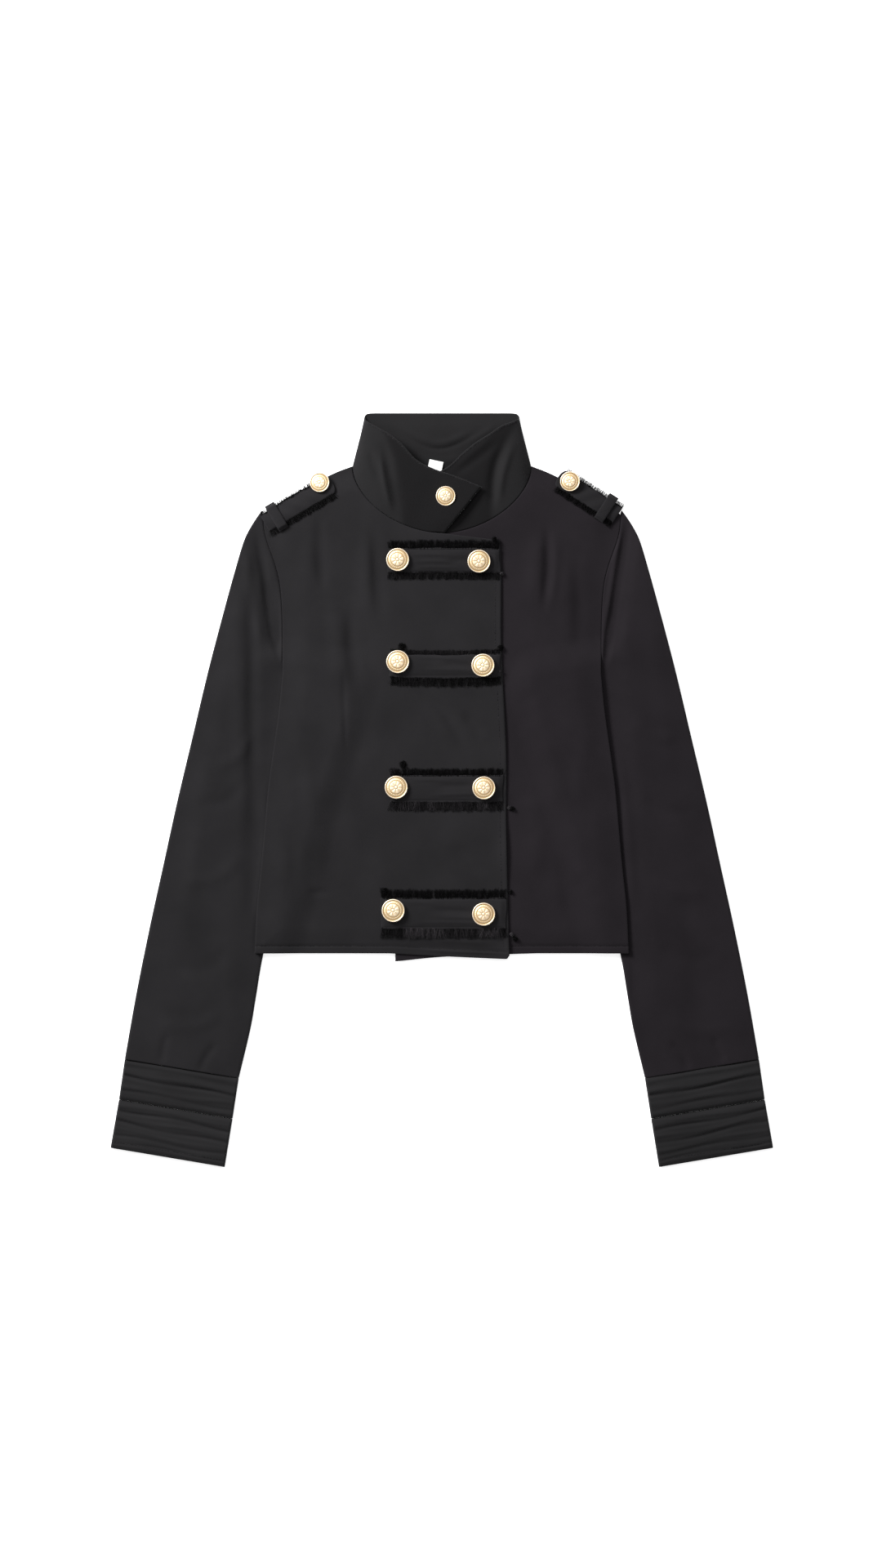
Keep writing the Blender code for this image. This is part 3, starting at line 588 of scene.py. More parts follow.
def spaced(total, step, breaks=(), extra=(), edge=EDGE_ROWS):
    """Shares along a line: even steps between its corners, closer ones at both ends and at the extra places."""
    knots = [0, *breaks, 1]
    even = [np.linspace(a, b, max(2, round((b - a) * total / step) + 1)) for a, b in zip(knots[:-1], knots[1:])]
    near = np.array(edge) / total
    return np.unique(np.round(np.concatenate([*even, near, 1 - near, np.array(extra, float) / total]), 5))


def coons(bottom, top, left, right, u, v):
    """P(u, v) = (1 − v)·B(u) + v·T(u) + (1 − u)·L(v) + u·R(v) − the bilinear sum of the four corners."""
    u, v = np.asarray(u)[None, :, None], np.asarray(v)[:, None, None]
    b, t, l, r = bottom[None], top[None], left[:, None], right[:, None]
    corners = (1 - u) * (1 - v) * b[:, :1] + u * (1 - v) * b[:, -1:] + (1 - u) * v * t[:, :1] + u * v * t[:, -1:]
    return (1 - v) * b + v * t + (1 - u) * l + u * r - corners


def runs(points, axis):
    """The length from the first row, or column, to each point."""
    step = np.linalg.norm(np.diff(points, axis=axis), axis=-1)
    return np.insert(np.cumsum(step, axis=axis), 0, 0, axis=axis)


def quads(index, around):
    """The faces of a grid of point numbers; round a tube the last column meets the first."""
    if around:
        index = np.concatenate([index, index[:, :1]], axis=1)
    return np.stack([index[:-1, :-1], index[:-1, 1:], index[1:, 1:], index[1:, :-1]], axis=-1).reshape(-1, 4)


def new_piece(name, points, faces, material, uv=None, attribute=None):
    """A mesh object from arrays of points in millimetres and of faces, riding on the jacket's one body."""
    mesh = bpy.data.meshes.new(name)
    mesh.from_pydata((points * MM).tolist(), [], faces.tolist())
    mesh.materials.append(material)
    if uv is not None:
        corner = np.empty(len(mesh.loops), np.int32)
        mesh.loops.foreach_get("vertex_index", corner)
        layer = mesh.uv_layers.new(name="cloth")
        layer.data.foreach_set("uv", (uv[corner] * MM).astype(np.float32).ravel())
    if attribute is not None:
        word, values = attribute
        mesh.attributes.new(word, "FLOAT", "POINT").data.foreach_set("value", values.astype(np.float32))
    mesh.shade_smooth()
    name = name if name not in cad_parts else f"{name}_cloth"
    piece = bpy.data.objects.new(name, mesh)
    bpy.context.scene.collection.objects.link(piece)
    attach(piece, "root")
    return piece


def shell(
    name, points, wall, material, around=False, flip=False, uv=None, roll=ROLL, painted_shade=None,
):
    """Outer = M + n·w/2·r and inner = M − n·w/2·r, where M lies half a wall w under the given points, n is the
    normal and r = √(1 − (1 − d/ρ)²) for a distance d from the edge, so that the edge is half round."""
    n, m = points.shape[:2]
    ahead = np.gradient(points, axis=0)
    if around:
        side = np.roll(points, -1, axis=1) - np.roll(points, 1, axis=1)
    else:
        side = np.gradient(points, axis=1)
    normal = np.cross(side, ahead) * (-1 if flip else 1)
    normal /= np.linalg.norm(normal, axis=-1, keepdims=True)
    down, across = runs(points, 0), runs(points, 1)
    away = np.minimum(down, down[-1:] - down)
    if not around:
        away = np.minimum(away, np.minimum(across, across[:, -1:] - across))
    r = np.sqrt(1 - (1 - np.clip(away / roll, 0, 1)) ** 2)[..., None]
    middle = points - normal * wall / 2
    outer, inner = middle + normal * r * wall / 2, middle - normal * r * wall / 2
    index = np.arange(n * m).reshape(n, m)
    free = np.ones((n, m), bool)
    free[[0, -1]] = False
    if not around:
        free[:, [0, -1]] = False
    under = index.copy()
    under[free] = n * m + np.arange(free.sum())
    faces = np.vstack([quads(index, around), quads(under, around)[:, ::-1]])
    if flip:
        faces = faces[:, ::-1]
    flat = np.stack([across, down], axis=-1) if uv is None else uv
    return new_piece(
        name, np.vstack([outer.reshape(-1, 3), inner[free]]), faces, material,
        uv=np.vstack([flat.reshape(-1, 2), flat[free]]),
        attribute=None if painted_shade is None else ("painted_shade", np.concatenate([painted_shade.ravel(), painted_shade[free]])),
    )


# %% [markdown]
# The body is three panels: the back and two fronts. On the real jacket each is cut from flat cloth, and here
# each is a patch between its hem, its sides and its neckline with shoulder. The patch blends the four edges,
# so its columns run with the cloth. Their heights come from the stack above.

# %% The back and the two fronts
PANEL_STEP = 1.9
HIDDEN_STEP = 3.6
HEM_STITCH = 7.0
STITCH_GROOVE = (5.8, 6.4, 7.0, 7.6, 8.2)


def groove(x, y, line, width=1.1, depth=0.6):
    """A sewn line pulls the cloth in: −depth · exp(−(d / width)²)."""
    off, _ = beside(x, y, line)
    return -depth * np.exp(-((off / width) ** 2))


def panel_plan(hem, neck, left_parts, right, step):
    """The panel's grid in plan. Its left side runs up the side seam, the armhole and the shoulder, and its top
    edge is the neckline, so that the rows sweep round the neck; each part of the side is divided evenly."""
    parts = [length(p) for p in left_parts]
    left = np.vstack([left_parts[0], *[p[1:] for p in left_parts[1:]]])
    u = spaced(length(hem), step)
    v = spaced(sum(parts), step, breaks=np.cumsum(parts)[:-1] / sum(parts), extra=STITCH_GROOVE)
    return coons(along(hem, u), along(neck, u), along(left, v), along(right, v), u, v)


def seam_push(neck):
    away = neck - [0, NECK_Y + 1]
    return away / np.linalg.norm(away, axis=1)[:, None] * SEAM


SHOULDER_LINE = through(SHOULDER, 3)
SIDE_LINE, ARMHOLE_LINE = through(SIDE, 4), through(ARMHOLE, 4)
RIGHT_EDGES = [mirrored(line)[::-1] for line in (SIDE_LINE, ARMHOLE_LINE, SHOULDER_LINE)]
LEFT_EDGES = [SIDE_LINE, ARMHOLE_LINE, SHOULDER_LINE]
RIGHT_NECK = neckline(np.linspace(180, 90, 60))[1:]
LEFT_NECK = neckline(np.linspace(0, 90, 60))[1:]
RIGHT_PLAN = panel_plan(
    np.vstack([[(-SIDE[0][0], HEM_Y)], through(LAP_HEM, 4), [LAP_EDGE[0]]]),
    np.vstack([[(-NECK_HALF_WIDTH, NECK_Y)], RIGHT_NECK + seam_push(RIGHT_NECK), [LAP_EDGE[-1]]]),
    RIGHT_EDGES, through(LAP_EDGE, 4), PANEL_STEP,
)
LEFT_PLAN = panel_plan(
    np.vstack([through(UNDERLAP_HEM, 4), [(SIDE[0][0], HEM_Y)]])[::-1],
    np.vstack([[(NECK_HALF_WIDTH, NECK_Y)], LEFT_NECK + seam_push(LEFT_NECK), [(UNDERLAP_X, LAP_TOP_Y)]]),
    LEFT_EDGES, np.array([UNDERLAP_HEM[0], (UNDERLAP_X, LAP_TOP_Y)], float), 2.2,
)[:, ::-1]
BACK_NECK = np.linspace(-NECK_HALF_WIDTH, NECK_HALF_WIDTH, 40)
BACK_PLAN = panel_plan(
    np.array([(-SIDE[0][0], HEM_Y), (SIDE[0][0], HEM_Y)], float),
    np.stack([BACK_NECK, back_neck_y(BACK_NECK)], axis=1), RIGHT_EDGES, np.vstack(LEFT_EDGES), HIDDEN_STEP,
)
print("panel grids:", RIGHT_PLAN.shape[:2], LEFT_PLAN.shape[:2], BACK_PLAN.shape[:2])

# %% Shells of the back and the fronts
THIN = 1.1


def declare(node_name):
    """Hides the frame node that a dressed sheet of cloth stands for."""
    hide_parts(node_name)


def panel(name, plan, top, material):
    x, y = plan[..., 0], plan[..., 1]
    z = top(x, y)
    piece = shell(name, np.dstack([plan, z]), THIN, material, uv=plan)
    declare(name)


HEM_LINE = np.array([(-178, HEM_Y + HEM_STITCH), (-50, HEM_Y + HEM_STITCH), (178, HEM_Y + HEM_STITCH)], float)
LAP_HEM_LINE = through(LAP_HEM, 6) + [0, HEM_STITCH]
LAP_LIFTS = [(-58, 24, 1.8), (-154, 8, 1.3), (50, 26, 0.5), (168, 26, 0.3)]  # y, reach, height
LAP_CURL_WIDTH = 8.0
LAP_ROLL = 0.35


def front_left_top(x, y):
    return under_front(x, y) + WALL + groove(x, y, HEM_LINE)


def lap_lift(x, y):
    """The lap's edge curls up between the straps, and rolls a little all along:
    the sum of height · exp(−((y − y₀) / reach)²), times exp(−(d / 9)²) for a distance d from the edge."""
    off = np.interp(y, [p[1] for p in LAP_EDGE], [p[0] for p in LAP_EDGE]) - x
    curl = sum(height * np.exp(-(((y - at) / reach) ** 2)) for at, reach, height in LAP_LIFTS)
    return curl * np.exp(-((off / LAP_CURL_WIDTH) ** 2)) + LAP_ROLL * np.exp(-(((off - 2.0) / 1.5) ** 2))


def front_right_top(x, y):
    sewn = np.where(x < LAP_HEM[0][0], groove(x, y, HEM_LINE), groove(x, y, LAP_HEM_LINE))
    return under_lap(x, y) + WALL + sewn + lap_lift(x, y)


def back_top(x, y):
    return climb(x, y) + WALL


panel("back", BACK_PLAN, back_top, CLOTH)
# The wearer's left front takes the twill darkened with painted shade.
panel("front_left", LEFT_PLAN, front_left_top, CLOTH_PAINTED_SHADE_SIDE)
panel("front_right", RIGHT_PLAN, front_right_top, CLOTH)

# %% [markdown]
# A sleeve laid flat is a tube pressed almost shut. Its grid runs down from the armhole seam to the cuff, over
# the top from the inner fold to the outer one, and back underneath. The two folds are half round. The long
# creases at the sleeve's head, where the spare cloth of the armhole falls, are troughs in the upper side.

# %% Sleeves
SLEEVE_STEP = 2.4
SLEEVE_ROWS = 200
SLEEVE_ROW_POWER = 1.15
FOLD_RADIUS = 2.3
UNDERSIDE_SKIP = 4
TUBE_WALL = 0.7
SLEEVE_CREASES = {  # x0, y0, x1, y1, x2, y2, half width, height, with x counted outwards on either side
    "right": [
        (178, 250, 169.5, 205, 154.5, 118, 3.4, -3.6),
        (167, 204, 161.5, 168, 155, 128, 5.5, -3.4),
        (188, 240, 182, 190, 172, 132, 6.0, 1.8),
        (181, 236, 181, 110, 180, -20, 6.0, -2.0),
        (193, 222, 193, 90, 190, -40, 9.0, 1.3),
        (178, 20, 180, -60, 182, -134, 7.0, -1.8),
        (196, 190, 206, 110, 216, 20, 10.0, 0.8),
        (176, 60, 196, 30, 222, 22, 6.0, 0.8),
        (188, 10, 206, -10, 240, -14, 6.0, -0.8),
        (190, -60, 214, -84, 250, -86, 7.0, 0.9),
        (200, -150, 226, -170, 262, -168, 7.0, -0.8),
        (206, -210, 236, -226, 276, -222, 7.0, 0.9),
        (220, 60, 232, -40, 252, -150, 10.0, 0.8),
        (214, -240, 226, -256, 232, -272, 4.0, -1.0),
        (262, -232, 266, -246, 268, -262, 4.0, -0.9),
    ],
    "left": [
        (178.5, 262, 170.5, 204, 154.5, 112, 3.5, -5.5),
        (183, 250, 176, 200, 160, 118, 6.0, -1.8),
        (171, 256, 163.5, 204, 155.5, 150, 3.4, 1.5),
        (168, 40, 176, -20, 184, -120, 5.0, 1.0),
        (200, 176, 208, 96, 222, 0, 10.0, 0.9),
        (180, 70, 202, 52, 228, 48, 6.0, 0.8),
        (190, -6, 214, -20, 246, -22, 6.0, -0.8),
        (196, -80, 220, -96, 258, -98, 7.0, 0.8),
        (206, -146, 232, -160, 268, -158, 7.0, -0.9),
        (210, -216, 240, -230, 282, -226, 7.0, 0.8),
        (224, -90, 240, -150, 246, -230, 12.0, -1.0),
        (216, -240, 230, -252, 236, -270, 4.0, -1.0),
        (258, -236, 264, -248, 270, -260, 4.0, -0.9),
    ],
}


def tube_ring(plan, low, high):
    """The closed ring of points of a pressed tube. Near each fold the height leaves the middle as a half
    round does: z = m + (z₁ − m)·√(1 − (1 − d/ρ)²)."""
    across = runs(plan, 1)
    away = np.minimum(across, across[:, -1:] - across)
    r = np.sqrt(1 - (1 - np.clip(away / FOLD_RADIUS, 0, 1)) ** 2)
    middle = (low + high) / 2
    top = np.dstack([plan, middle + (high - middle) * r])
    bottom = np.dstack([plan, middle + (low - middle) * r])
    last = plan.shape[1] - 1
    near = 6
    back = np.concatenate([np.arange(last - 1, last - near, -1), np.arange(last - near, near, -UNDERSIDE_SKIP),
                           np.arange(near, 0, -1)])
    return np.concatenate([top, bottom[:, back]], axis=1)


def sleeve_plan():
    """The grid in plan. Its upper end runs unseen below the body, then up the armhole, where the sleeve's edge
    is tucked just under the front's, so that no light comes through the seam."""
    seam_y = np.arange(SLEEVE_SEAM_START_Y, ARMHOLE[-1][1], 2)
    seam = np.column_stack([body_half_width(seam_y) - SEWN_TUCK, seam_y])
    end = np.vstack([SLEEVE_HIDDEN_END[:-1], [SLEEVE_TUCK], seam, SLEEVE_OUTER[:1]])
    u = spaced(length(end), SLEEVE_STEP, edge=(0.25, 0.7, 1.4, 2.4))
    inner_cuff, outer_cuff = np.array(CUFF_LINES[0]).reshape(2, 2)
    across = outer_cuff - inner_cuff
    away = np.array([-across[1], across[0]]) / np.linalg.norm(across)
    cuff = inner_cuff + u[:, None] * across + away * SEAM
    v = np.linspace(0, 1, SLEEVE_ROWS) ** SLEEVE_ROW_POWER
    near = 1 - np.array([0.5, 1.1, 1.8]) / length(np.array(SLEEVE_OUTER))
    v = np.unique(np.round(np.concatenate([v, near]), 6))
    inner, outer = along(through(SLEEVE_INNER, 3), v), along(through(SLEEVE_OUTER, 3), v)
    return coons(along(end, u), cuff, inner, outer, u, v)


def sleeve(word, side, material):
    plan = sleeve_plan()
    x, y = plan[..., 0], plan[..., 1]
    low, high = sleeve_low(x, y), sleeve_high(x, y)
    beyond = smooth((beyond_seam(x, y) - 1.2) / 2.5)
    marks = creases(x, y, SLEEVE_CREASES[word], taper=4.0) + rumple(x, y, 1.1, 21 + side)
    floor_room = np.maximum(high - low - 2 * TUBE_WALL - 0.3, 0.1)
    high = high + beyond * np.where(marks < 0, -floor_room * (1 - np.exp(marks / floor_room)), marks)
    ring = tube_ring(plan, low, high)
    ring[..., 0] *= side
    name = f"sleeve_{word}"
    piece = shell(name, ring, TUBE_WALL, material, around=True, flip=side > 0)
    declare(name)


sleeve("right", -1, CLOTH)
# The wearer's left sleeve takes the twill darkened with painted shade.
sleeve("left", 1, CLOTH_PAINTED_SHADE_SIDE)

# %% [markdown]
# Each cuff is two bands, sewn edge to edge. A band is a short tube too. Where it is sewn it is pinched thin,
# and between the seams it swells a little, with one or two creases across it that don't reach both folds.

# %% Cuffs
BAND_STEP = 2.0
BAND_ROW_STEP = 1.1
PINCH = 2.6
BAND_CREASES = {  # band: share of the band's depth at the inner and outer fold, width in mm, height
    "cuff_upper": [
        (0.46, 0.40, 1.5, -1.9), (0.36, 0.30, 2.2, 0.9), (0.20, 0.14, 2.6, -0.8), (0.64, 0.70, 2.4, 0.9),
        (0.80, 0.74, 1.6, -0.7),
    ],
    "cuff_lower": [
        (0.26, 0.20, 1.4, -1.5), (0.14, 0.10, 1.8, 0.8), (0.52, 0.44, 1.6, -1.3), (0.40, 0.34, 1.9, 0.9),
        (0.66, 0.60, 1.8, 0.8), (0.74, 0.72, 1.3, -0.9), (0.86, 0.86, 0.9, -0.9),
    ],
}
CUFF_STITCH = 0.86


def cuff_band(side, word, name, upper, lower, height, material):
    (upper_in, upper_out), (lower_in, lower_out) = np.array(upper).reshape(2, 2), np.array(lower).reshape(2, 2)
    width, depth = np.linalg.norm(upper_out - upper_in), np.linalg.norm(lower_in - upper_in)
    u = spaced(width, BAND_STEP, edge=(0.25, 0.7, 1.4, 2.4))
    v = spaced(depth, BAND_ROW_STEP)
    v = (SEAM / 2 + v * (depth - SEAM)) / depth
    top, bottom = upper_in + u[:, None] * (upper_out - upper_in), lower_in + u[:, None] * (lower_out - lower_in)
    plan = top[None] + v[:, None, None] * (bottom - top)[None]
    share, place = np.broadcast_arrays(v[:, None], u[None])
    from_seam = np.minimum(share, 1 - share) * depth
    high = height - PINCH * 0.65 * (1 - smooth(from_seam / 4))
    for at_inner, at_outer, wide, tall in BAND_CREASES[name]:
        line = at_inner + (at_outer - at_inner) * place + 0.025 * np.sin(7 * place + 9 * at_inner + side)
        fade = 0.45 + 0.55 * np.sin(4.5 * place + 11 * at_outer + side) ** 2
        high = high + tall * fade * np.exp(-(((share - line) * depth / wide) ** 2))
    ring = tube_ring(plan, np.zeros(high.shape), high)
    ring[..., 0] *= side
    band = f"{name}_{word}"
    piece = shell(band, ring, TUBE_WALL, material, around=True, flip=side > 0)
    declare(band)
    return ring[np.abs(v - CUFF_STITCH).argmin(), :len(u)][4:-4]


CUFF_STITCH_LINES = []
for side, word in ((-1, "right"), (1, "left")):
    for (name, height), upper, lower in zip(CUFF_BANDS, CUFF_LINES, CUFF_LINES[1:]):
        stitch_line = cuff_band(side, word, name, upper, lower, height, CUFF_CLOTH)
    CUFF_STITCH_LINES.append(stitch_line)

# %% [markdown]
# The collar is one band that goes round the neck. Behind, it lies flat and shows its inner side. At the neck
# points it folds over, and its two wings lean forwards over the fronts, the wearer's right one on top. A band
# is a loft between two curves, the seam on the neckline and the free upper edge, both given by a short table.

# %% Collar
COLLAR_WALL = 1.2
COLLAR_TOP_Y = 360.4
OVER_WING = [  # turn, top x, top y, top z
    (88, 38.2, 289, 12.4), (100, 13.8, 299.1, 12.6), (112, -8, 306.5, 12.8), (124, -24, 315, 12.8),
    (136, -38, 330, 12.8), (148, -50, 339.5, 12.2), (160, -62, 346.5, 10.6), (170, -70.5, 351.5, 8),
]
UNDER_WING = [  # turn, top x, top y, top z
    (92, -14, 299, 8.2), (82, 5.5, 308.5, 9.2), (70, 20, 322, 10.2), (58, 33, 332.3, 11.0), (46, 45, 339.8, 11.2),
    (34, 56.6, 347.5, 10.8), (22, 65.5, 351, 9.6), (10, 71.5, 353.7, 8),
]
COLLAR_FOLD = (73.7, 355.0, 4.4)
COLLAR_BACK = [(78, 71.2, 359.8), (58, 52, COLLAR_TOP_Y), (30, 26, COLLAR_TOP_Y), (0, 0, COLLAR_TOP_Y)]
COLLAR_FINE = 12
COLLAR_STEP = 1.3
WING_CREASES = [  # x0, y0, x1, y1, x2, y2, half width, height
    (-58, 338, -47.0, 296, -38, 250, 5.0, -2.6),
    (-60, 326, -54.5, 292, -46.5, 258, 2.6, 1.6),
    (68, 346, 50.5, 306, 48, 256, 5.0, -2.6),
    (70, 336, 58, 300, 55, 268, 3.6, 1.5),
    (-70, 330, -66, 312, -56, 288, 3.4, -0.9),
    (-24, 298, 6, 282, 34, 264, 8.0, -0.9),
    (6, 304, 34, 326, 60, 346, 3.4, 1.0),
    (2, 294, 34, 316, 62, 338, 3.6, -1.0),
]
BACK_CREASES = [  # x0, y0, x1, y1, x2, y2, half width, height
    (-46, 345, -4, 326, 40, 343, 2.0, -0.9),
    (-44, 350, -4, 331, 38, 348, 3.0, 0.9),
    (-30, 322, 0, 314, 34, 324, 4.0, 0.7),
    (20, 330, 36, 338, 54, 350, 3.0, 0.8),
]
# Painted shade falls on the collar between these two valleys; the rim width sets its painted light edge.
LEFT_VALLEY = [(-37, 250), (-43, 283), (-46, 315), (-54, 340), (-62, 352)]  # x, y
RIGHT_VALLEY = [(48, 250), (48, 294), (52, 315), (60, 332), (71, 348)]  # x, y
VALLEY_SOFTNESS = 9.0
COLLAR_DOME = 1.5
END_LIFT = 2.0
PAINTED_LIGHT_RIM_WIDTH = 1.3


def collar_sections():
    """Seam and top of each section, from the free end of the under wing round the back to the over wing."""
    sections = []
    for turn, x, y, z in UNDER_WING:
        sx, sy = neckline(turn)
        sections.append((sx, sy, float(under_front(sx, sy)) + WALL, x, y, z))
    fold_x, fold_y, fold_z = COLLAR_FOLD
    sections.append((NECK_HALF_WIDTH - 0.5, NECK_Y + 0.8, WALL + LAYER / 2, fold_x, fold_y, fold_z))
    for sx, x, y in COLLAR_BACK + [(-sx, -x, y) for sx, x, y in COLLAR_BACK[-2::-1]]:
        sections.append((sx, back_neck_y(sx) + SEAM + 0.2, 0, x, y, 0))
    sections.append((-NECK_HALF_WIDTH + 0.5, NECK_Y + 0.8, WALL + LAYER / 2, -fold_x, fold_y, fold_z))
    for turn, x, y, z in OVER_WING[::-1]:
        sx, sy = neckline(turn)
        sections.append((sx, sy, float(under_lap(sx, sy)) + WALL, x, y, z))
    return np.array(sections)


def between(rows, fine):
    """Catmull-Rom through the rows of a table, with the given number of steps from each row to the next."""
    p = np.vstack([2 * rows[0] - rows[1], rows, 2 * rows[-1] - rows[-2]])
    t = np.linspace(0, 1, fine, endpoint=False)[None, :, None]
    a, b, c, d = (q[:, None] for q in (p[:-3], p[1:-2], p[2:-1], p[3:]))
    made = 0.5 * (2 * b + (c - a) * t + (2 * a - 5 * b + 4 * c - d) * t**2 + (3 * b - a - 3 * c + d) * t**3)
    return np.vstack([made.reshape(-1, rows.shape[1]), rows[-1:]])


def collar():
    sections = collar_sections()
    fine = between(sections, COLLAR_FINE)
    place = np.linspace(0, len(sections) - 1, len(fine))
    over = smooth(place - (len(sections) - 1 - len(OVER_WING)))
    wing = np.maximum(smooth(len(UNDER_WING) - place), over)
    low, high = fine[:, :3], fine[:, 3:]
    low[:, 2] = np.maximum(low[:, 2], 0)
    high[:, 2] = np.maximum(high[:, 2], 0)
    high[:, 1] = np.minimum(high[:, 1], COLLAR_TOP_Y)
    t = spaced(50, COLLAR_STEP)[:, None, None]
    points = low[None] + t * (high - low)[None]
    x, y = points[..., 0], points[..., 1]
    t = t[..., 0]
    dome = np.sin(np.pi * t)
    free_end = smooth((place - len(sections) + 3) / 2)
    lift = wing * (COLLAR_DOME * dome + creases(x, y, WING_CREASES) * smooth(3 * t + 0.2))
    lift = lift + END_LIFT * free_end * smooth(2.5 * t + 0.25)
    inside = (1 - wing) * smooth(4 * t) * smooth(4 * (1 - t)) * (0.9 + creases(x, y, BACK_CREASES))
    edge_roll = wing * 0.7 * np.exp(-(((1 - t) * 50 / 1.8) ** 2))
    points[..., 2] = np.maximum(points[..., 2] + lift + edge_roll + inside, 0)
    # The collar's colour carries painted shade between the valleys and a painted light line along its free edges.
    piece = shell(
        "collar", points, COLLAR_WALL, COLLAR_CLOTH_PAINTED_SHADE, flip=collar_turned(points), painted_shade=collar_painted_shade(x, y, t, wing),
    )
    declare("collar")
    return points


def collar_painted_shade(x, y, t, wing):
    """Painted shade: 1 between the wings' two valleys, where their hollow front lies in shadow, near 0 at the free
    edges' rim, a painted light line; the band behind the neck is painted a little darker towards the wings."""
    left = np.interp(y, [p[1] for p in LEFT_VALLEY], [p[0] for p in LEFT_VALLEY])
    right = np.interp(y, [p[1] for p in RIGHT_VALLEY], [p[0] for p in RIGHT_VALLEY])
    middle = smooth((x - left) / VALLEY_SOFTNESS + 0.5) * smooth((right - x) / VALLEY_SOFTNESS + 0.5)
    rim = 1 - 0.8 * np.exp(-(((1 - t) * 50 / PAINTED_LIGHT_RIM_WIDTH) ** 2))
    behind = 0.45 * smooth((354 - y) / 34)
    return wing * (0.12 + 0.88 * middle) * rim + (1 - wing) * behind


def collar_turned(points):
    """True if the wing's normal would point down."""
    a, b, c = points[4, 4], points[4, 8], points[8, 4]
    return bool(np.cross(b - a, c - a)[2] < 0)


COLLAR_POINTS = collar()

# %% [markdown]
# Frayed edges are hundreds of loose threads. Each thread is a thin tube along a bent path, and all the threads
# of one edge are computed at once as arrays, then joined in one mesh. A thread starts under its strap, leaves
# it outwards, and droops on what lies below. Neighbours lean together, as threads do that were cut and rubbed.
# The same tubes, shorter, are the stitches of every sewn line.

# %% Threads and stitches
def tubes(paths, radius, sides):
    """Tubes round paths, p + r(u·cos a + w·sin a), with u level and across the path and w across both. Returns
    the points and the four-sided faces; the two ends are closed by faces that fold the ring onto itself."""
    count, stations = paths.shape[:2]
    ahead = np.gradient(paths, axis=1)
    ahead /= np.linalg.norm(ahead, axis=-1, keepdims=True)
    level = np.cross(ahead, [0, 0, 1.0])
    level /= np.maximum(np.linalg.norm(level, axis=-1, keepdims=True), 1e-9)
    upright = np.cross(level, ahead)
    turn = 2 * math.pi * np.arange(sides) / sides
    spread = level[:, :, None] * np.cos(turn)[:, None] + upright[:, :, None] * np.sin(turn)[:, None]
    ring = paths[:, :, None] + radius[:, :, None, None] * spread
    index = np.arange(count * stations * sides).reshape(count, stations, sides)
    wrapped = np.concatenate([index, index[..., :1]], axis=2)
    walls = np.stack([wrapped[:, :-1, :-1], wrapped[:, :-1, 1:], wrapped[:, 1:, 1:], wrapped[:, 1:, :-1]], axis=-1)
    first, last = index[:, 0, ::-1], index[:, -1]
    return ring.reshape(-1, 3), walls.reshape(-1, 4), first, last


def strands(name, paths, radius, material, sides=4, tone=None):
    """One mesh of many separate closed tubes, each with its own tone."""
    points, walls, first, last = tubes(paths, radius, sides)
    if sides == 4:
        faces = np.vstack([walls, first, last])
    else:
        caps = np.vstack([first, last])
        halves = np.vstack([walls[:, [0, 1, 2]], walls[:, [0, 2, 3]]])
        faces = np.vstack([halves, caps])
    tone = np.full(len(paths), 0.5) if tone is None else tone
    per_point = np.repeat(tone, paths.shape[1] * sides)
    return new_piece(name, points, faces, material, attribute=("tone", per_point))


THREAD_RADIUS = 0.17
THREADS_PER_MM = 5.2
THREAD_STATIONS = 6


def frayed_edge(start, end, outward, reach, surface, seed, tone=0.03, droop=0.6):
    """Paths of threads along a strap's edge from start to end: p(s) = root + s·reach·(outward turned by a lean),
    with a bend that grows as s², and a height that falls from the strap's edge to the cloth below. The tone is
    a number, or a function of x, and each thread's own tone scatters about it."""
    rng = np.random.default_rng(seed)
    start, end, outward = (np.asarray(v, float) for v in (start, end, outward))
    edge = end - start
    span = np.linalg.norm(edge)
    count = int(span * THREADS_PER_MM)
    place = (np.arange(count) + rng.uniform(-0.6, 0.6, count)) / count
    lock = np.sin(place * span * 0.9 + seed) + 0.7 * np.sin(place * span * 2.3 + 2 * seed) + 0.5 * np.sin(place * 11)
    lean = 0.20 * lock + rng.normal(0, 0.22, count)
    uneven = 0.90 + 0.07 * np.sin(place * span * 0.45 + 3 * seed) + rng.normal(0, 0.07, count)
    lengths = reach * np.clip(uneven, 0.35, 1.12)
    bend = rng.normal(0, 0.3, count) + 0.25 * np.sin(place * span * 1.3)
    s = np.linspace(0, 1, THREAD_STATIONS)[None, :]
    forward = (s * lengths[:, None] * np.cos(lean)[:, None]) - 1.2 * (1 - s)
    aside = s * lengths[:, None] * np.sin(lean)[:, None] + bend[:, None] * s**2 * lengths[:, None] * 0.35
    along_edge = edge / span
    plan = start + place[:, None, None] * edge + forward[..., None] * outward + aside[..., None] * along_edge
    layer = rng.uniform(0.15, 1.5, count)[:, None]
    ground = surface(plan[..., 0], plan[..., 1])
    height = ground + THREAD_RADIUS + layer * (1 - droop * s**1.5) + 0.25 * np.sin(s * 5 + layer * 9) * s
    radius = THREAD_RADIUS * (1 - 0.35 * s**3) * rng.uniform(0.75, 1.15, count)[:, None]
    mean = tone(plan[:, 0, 0]) if callable(tone) else tone
    tones = np.clip(mean * np.exp(rng.normal(0, 0.45, count)), 0, 1)
    return np.dstack([plan, height]), np.broadcast_to(radius, height.shape), tones


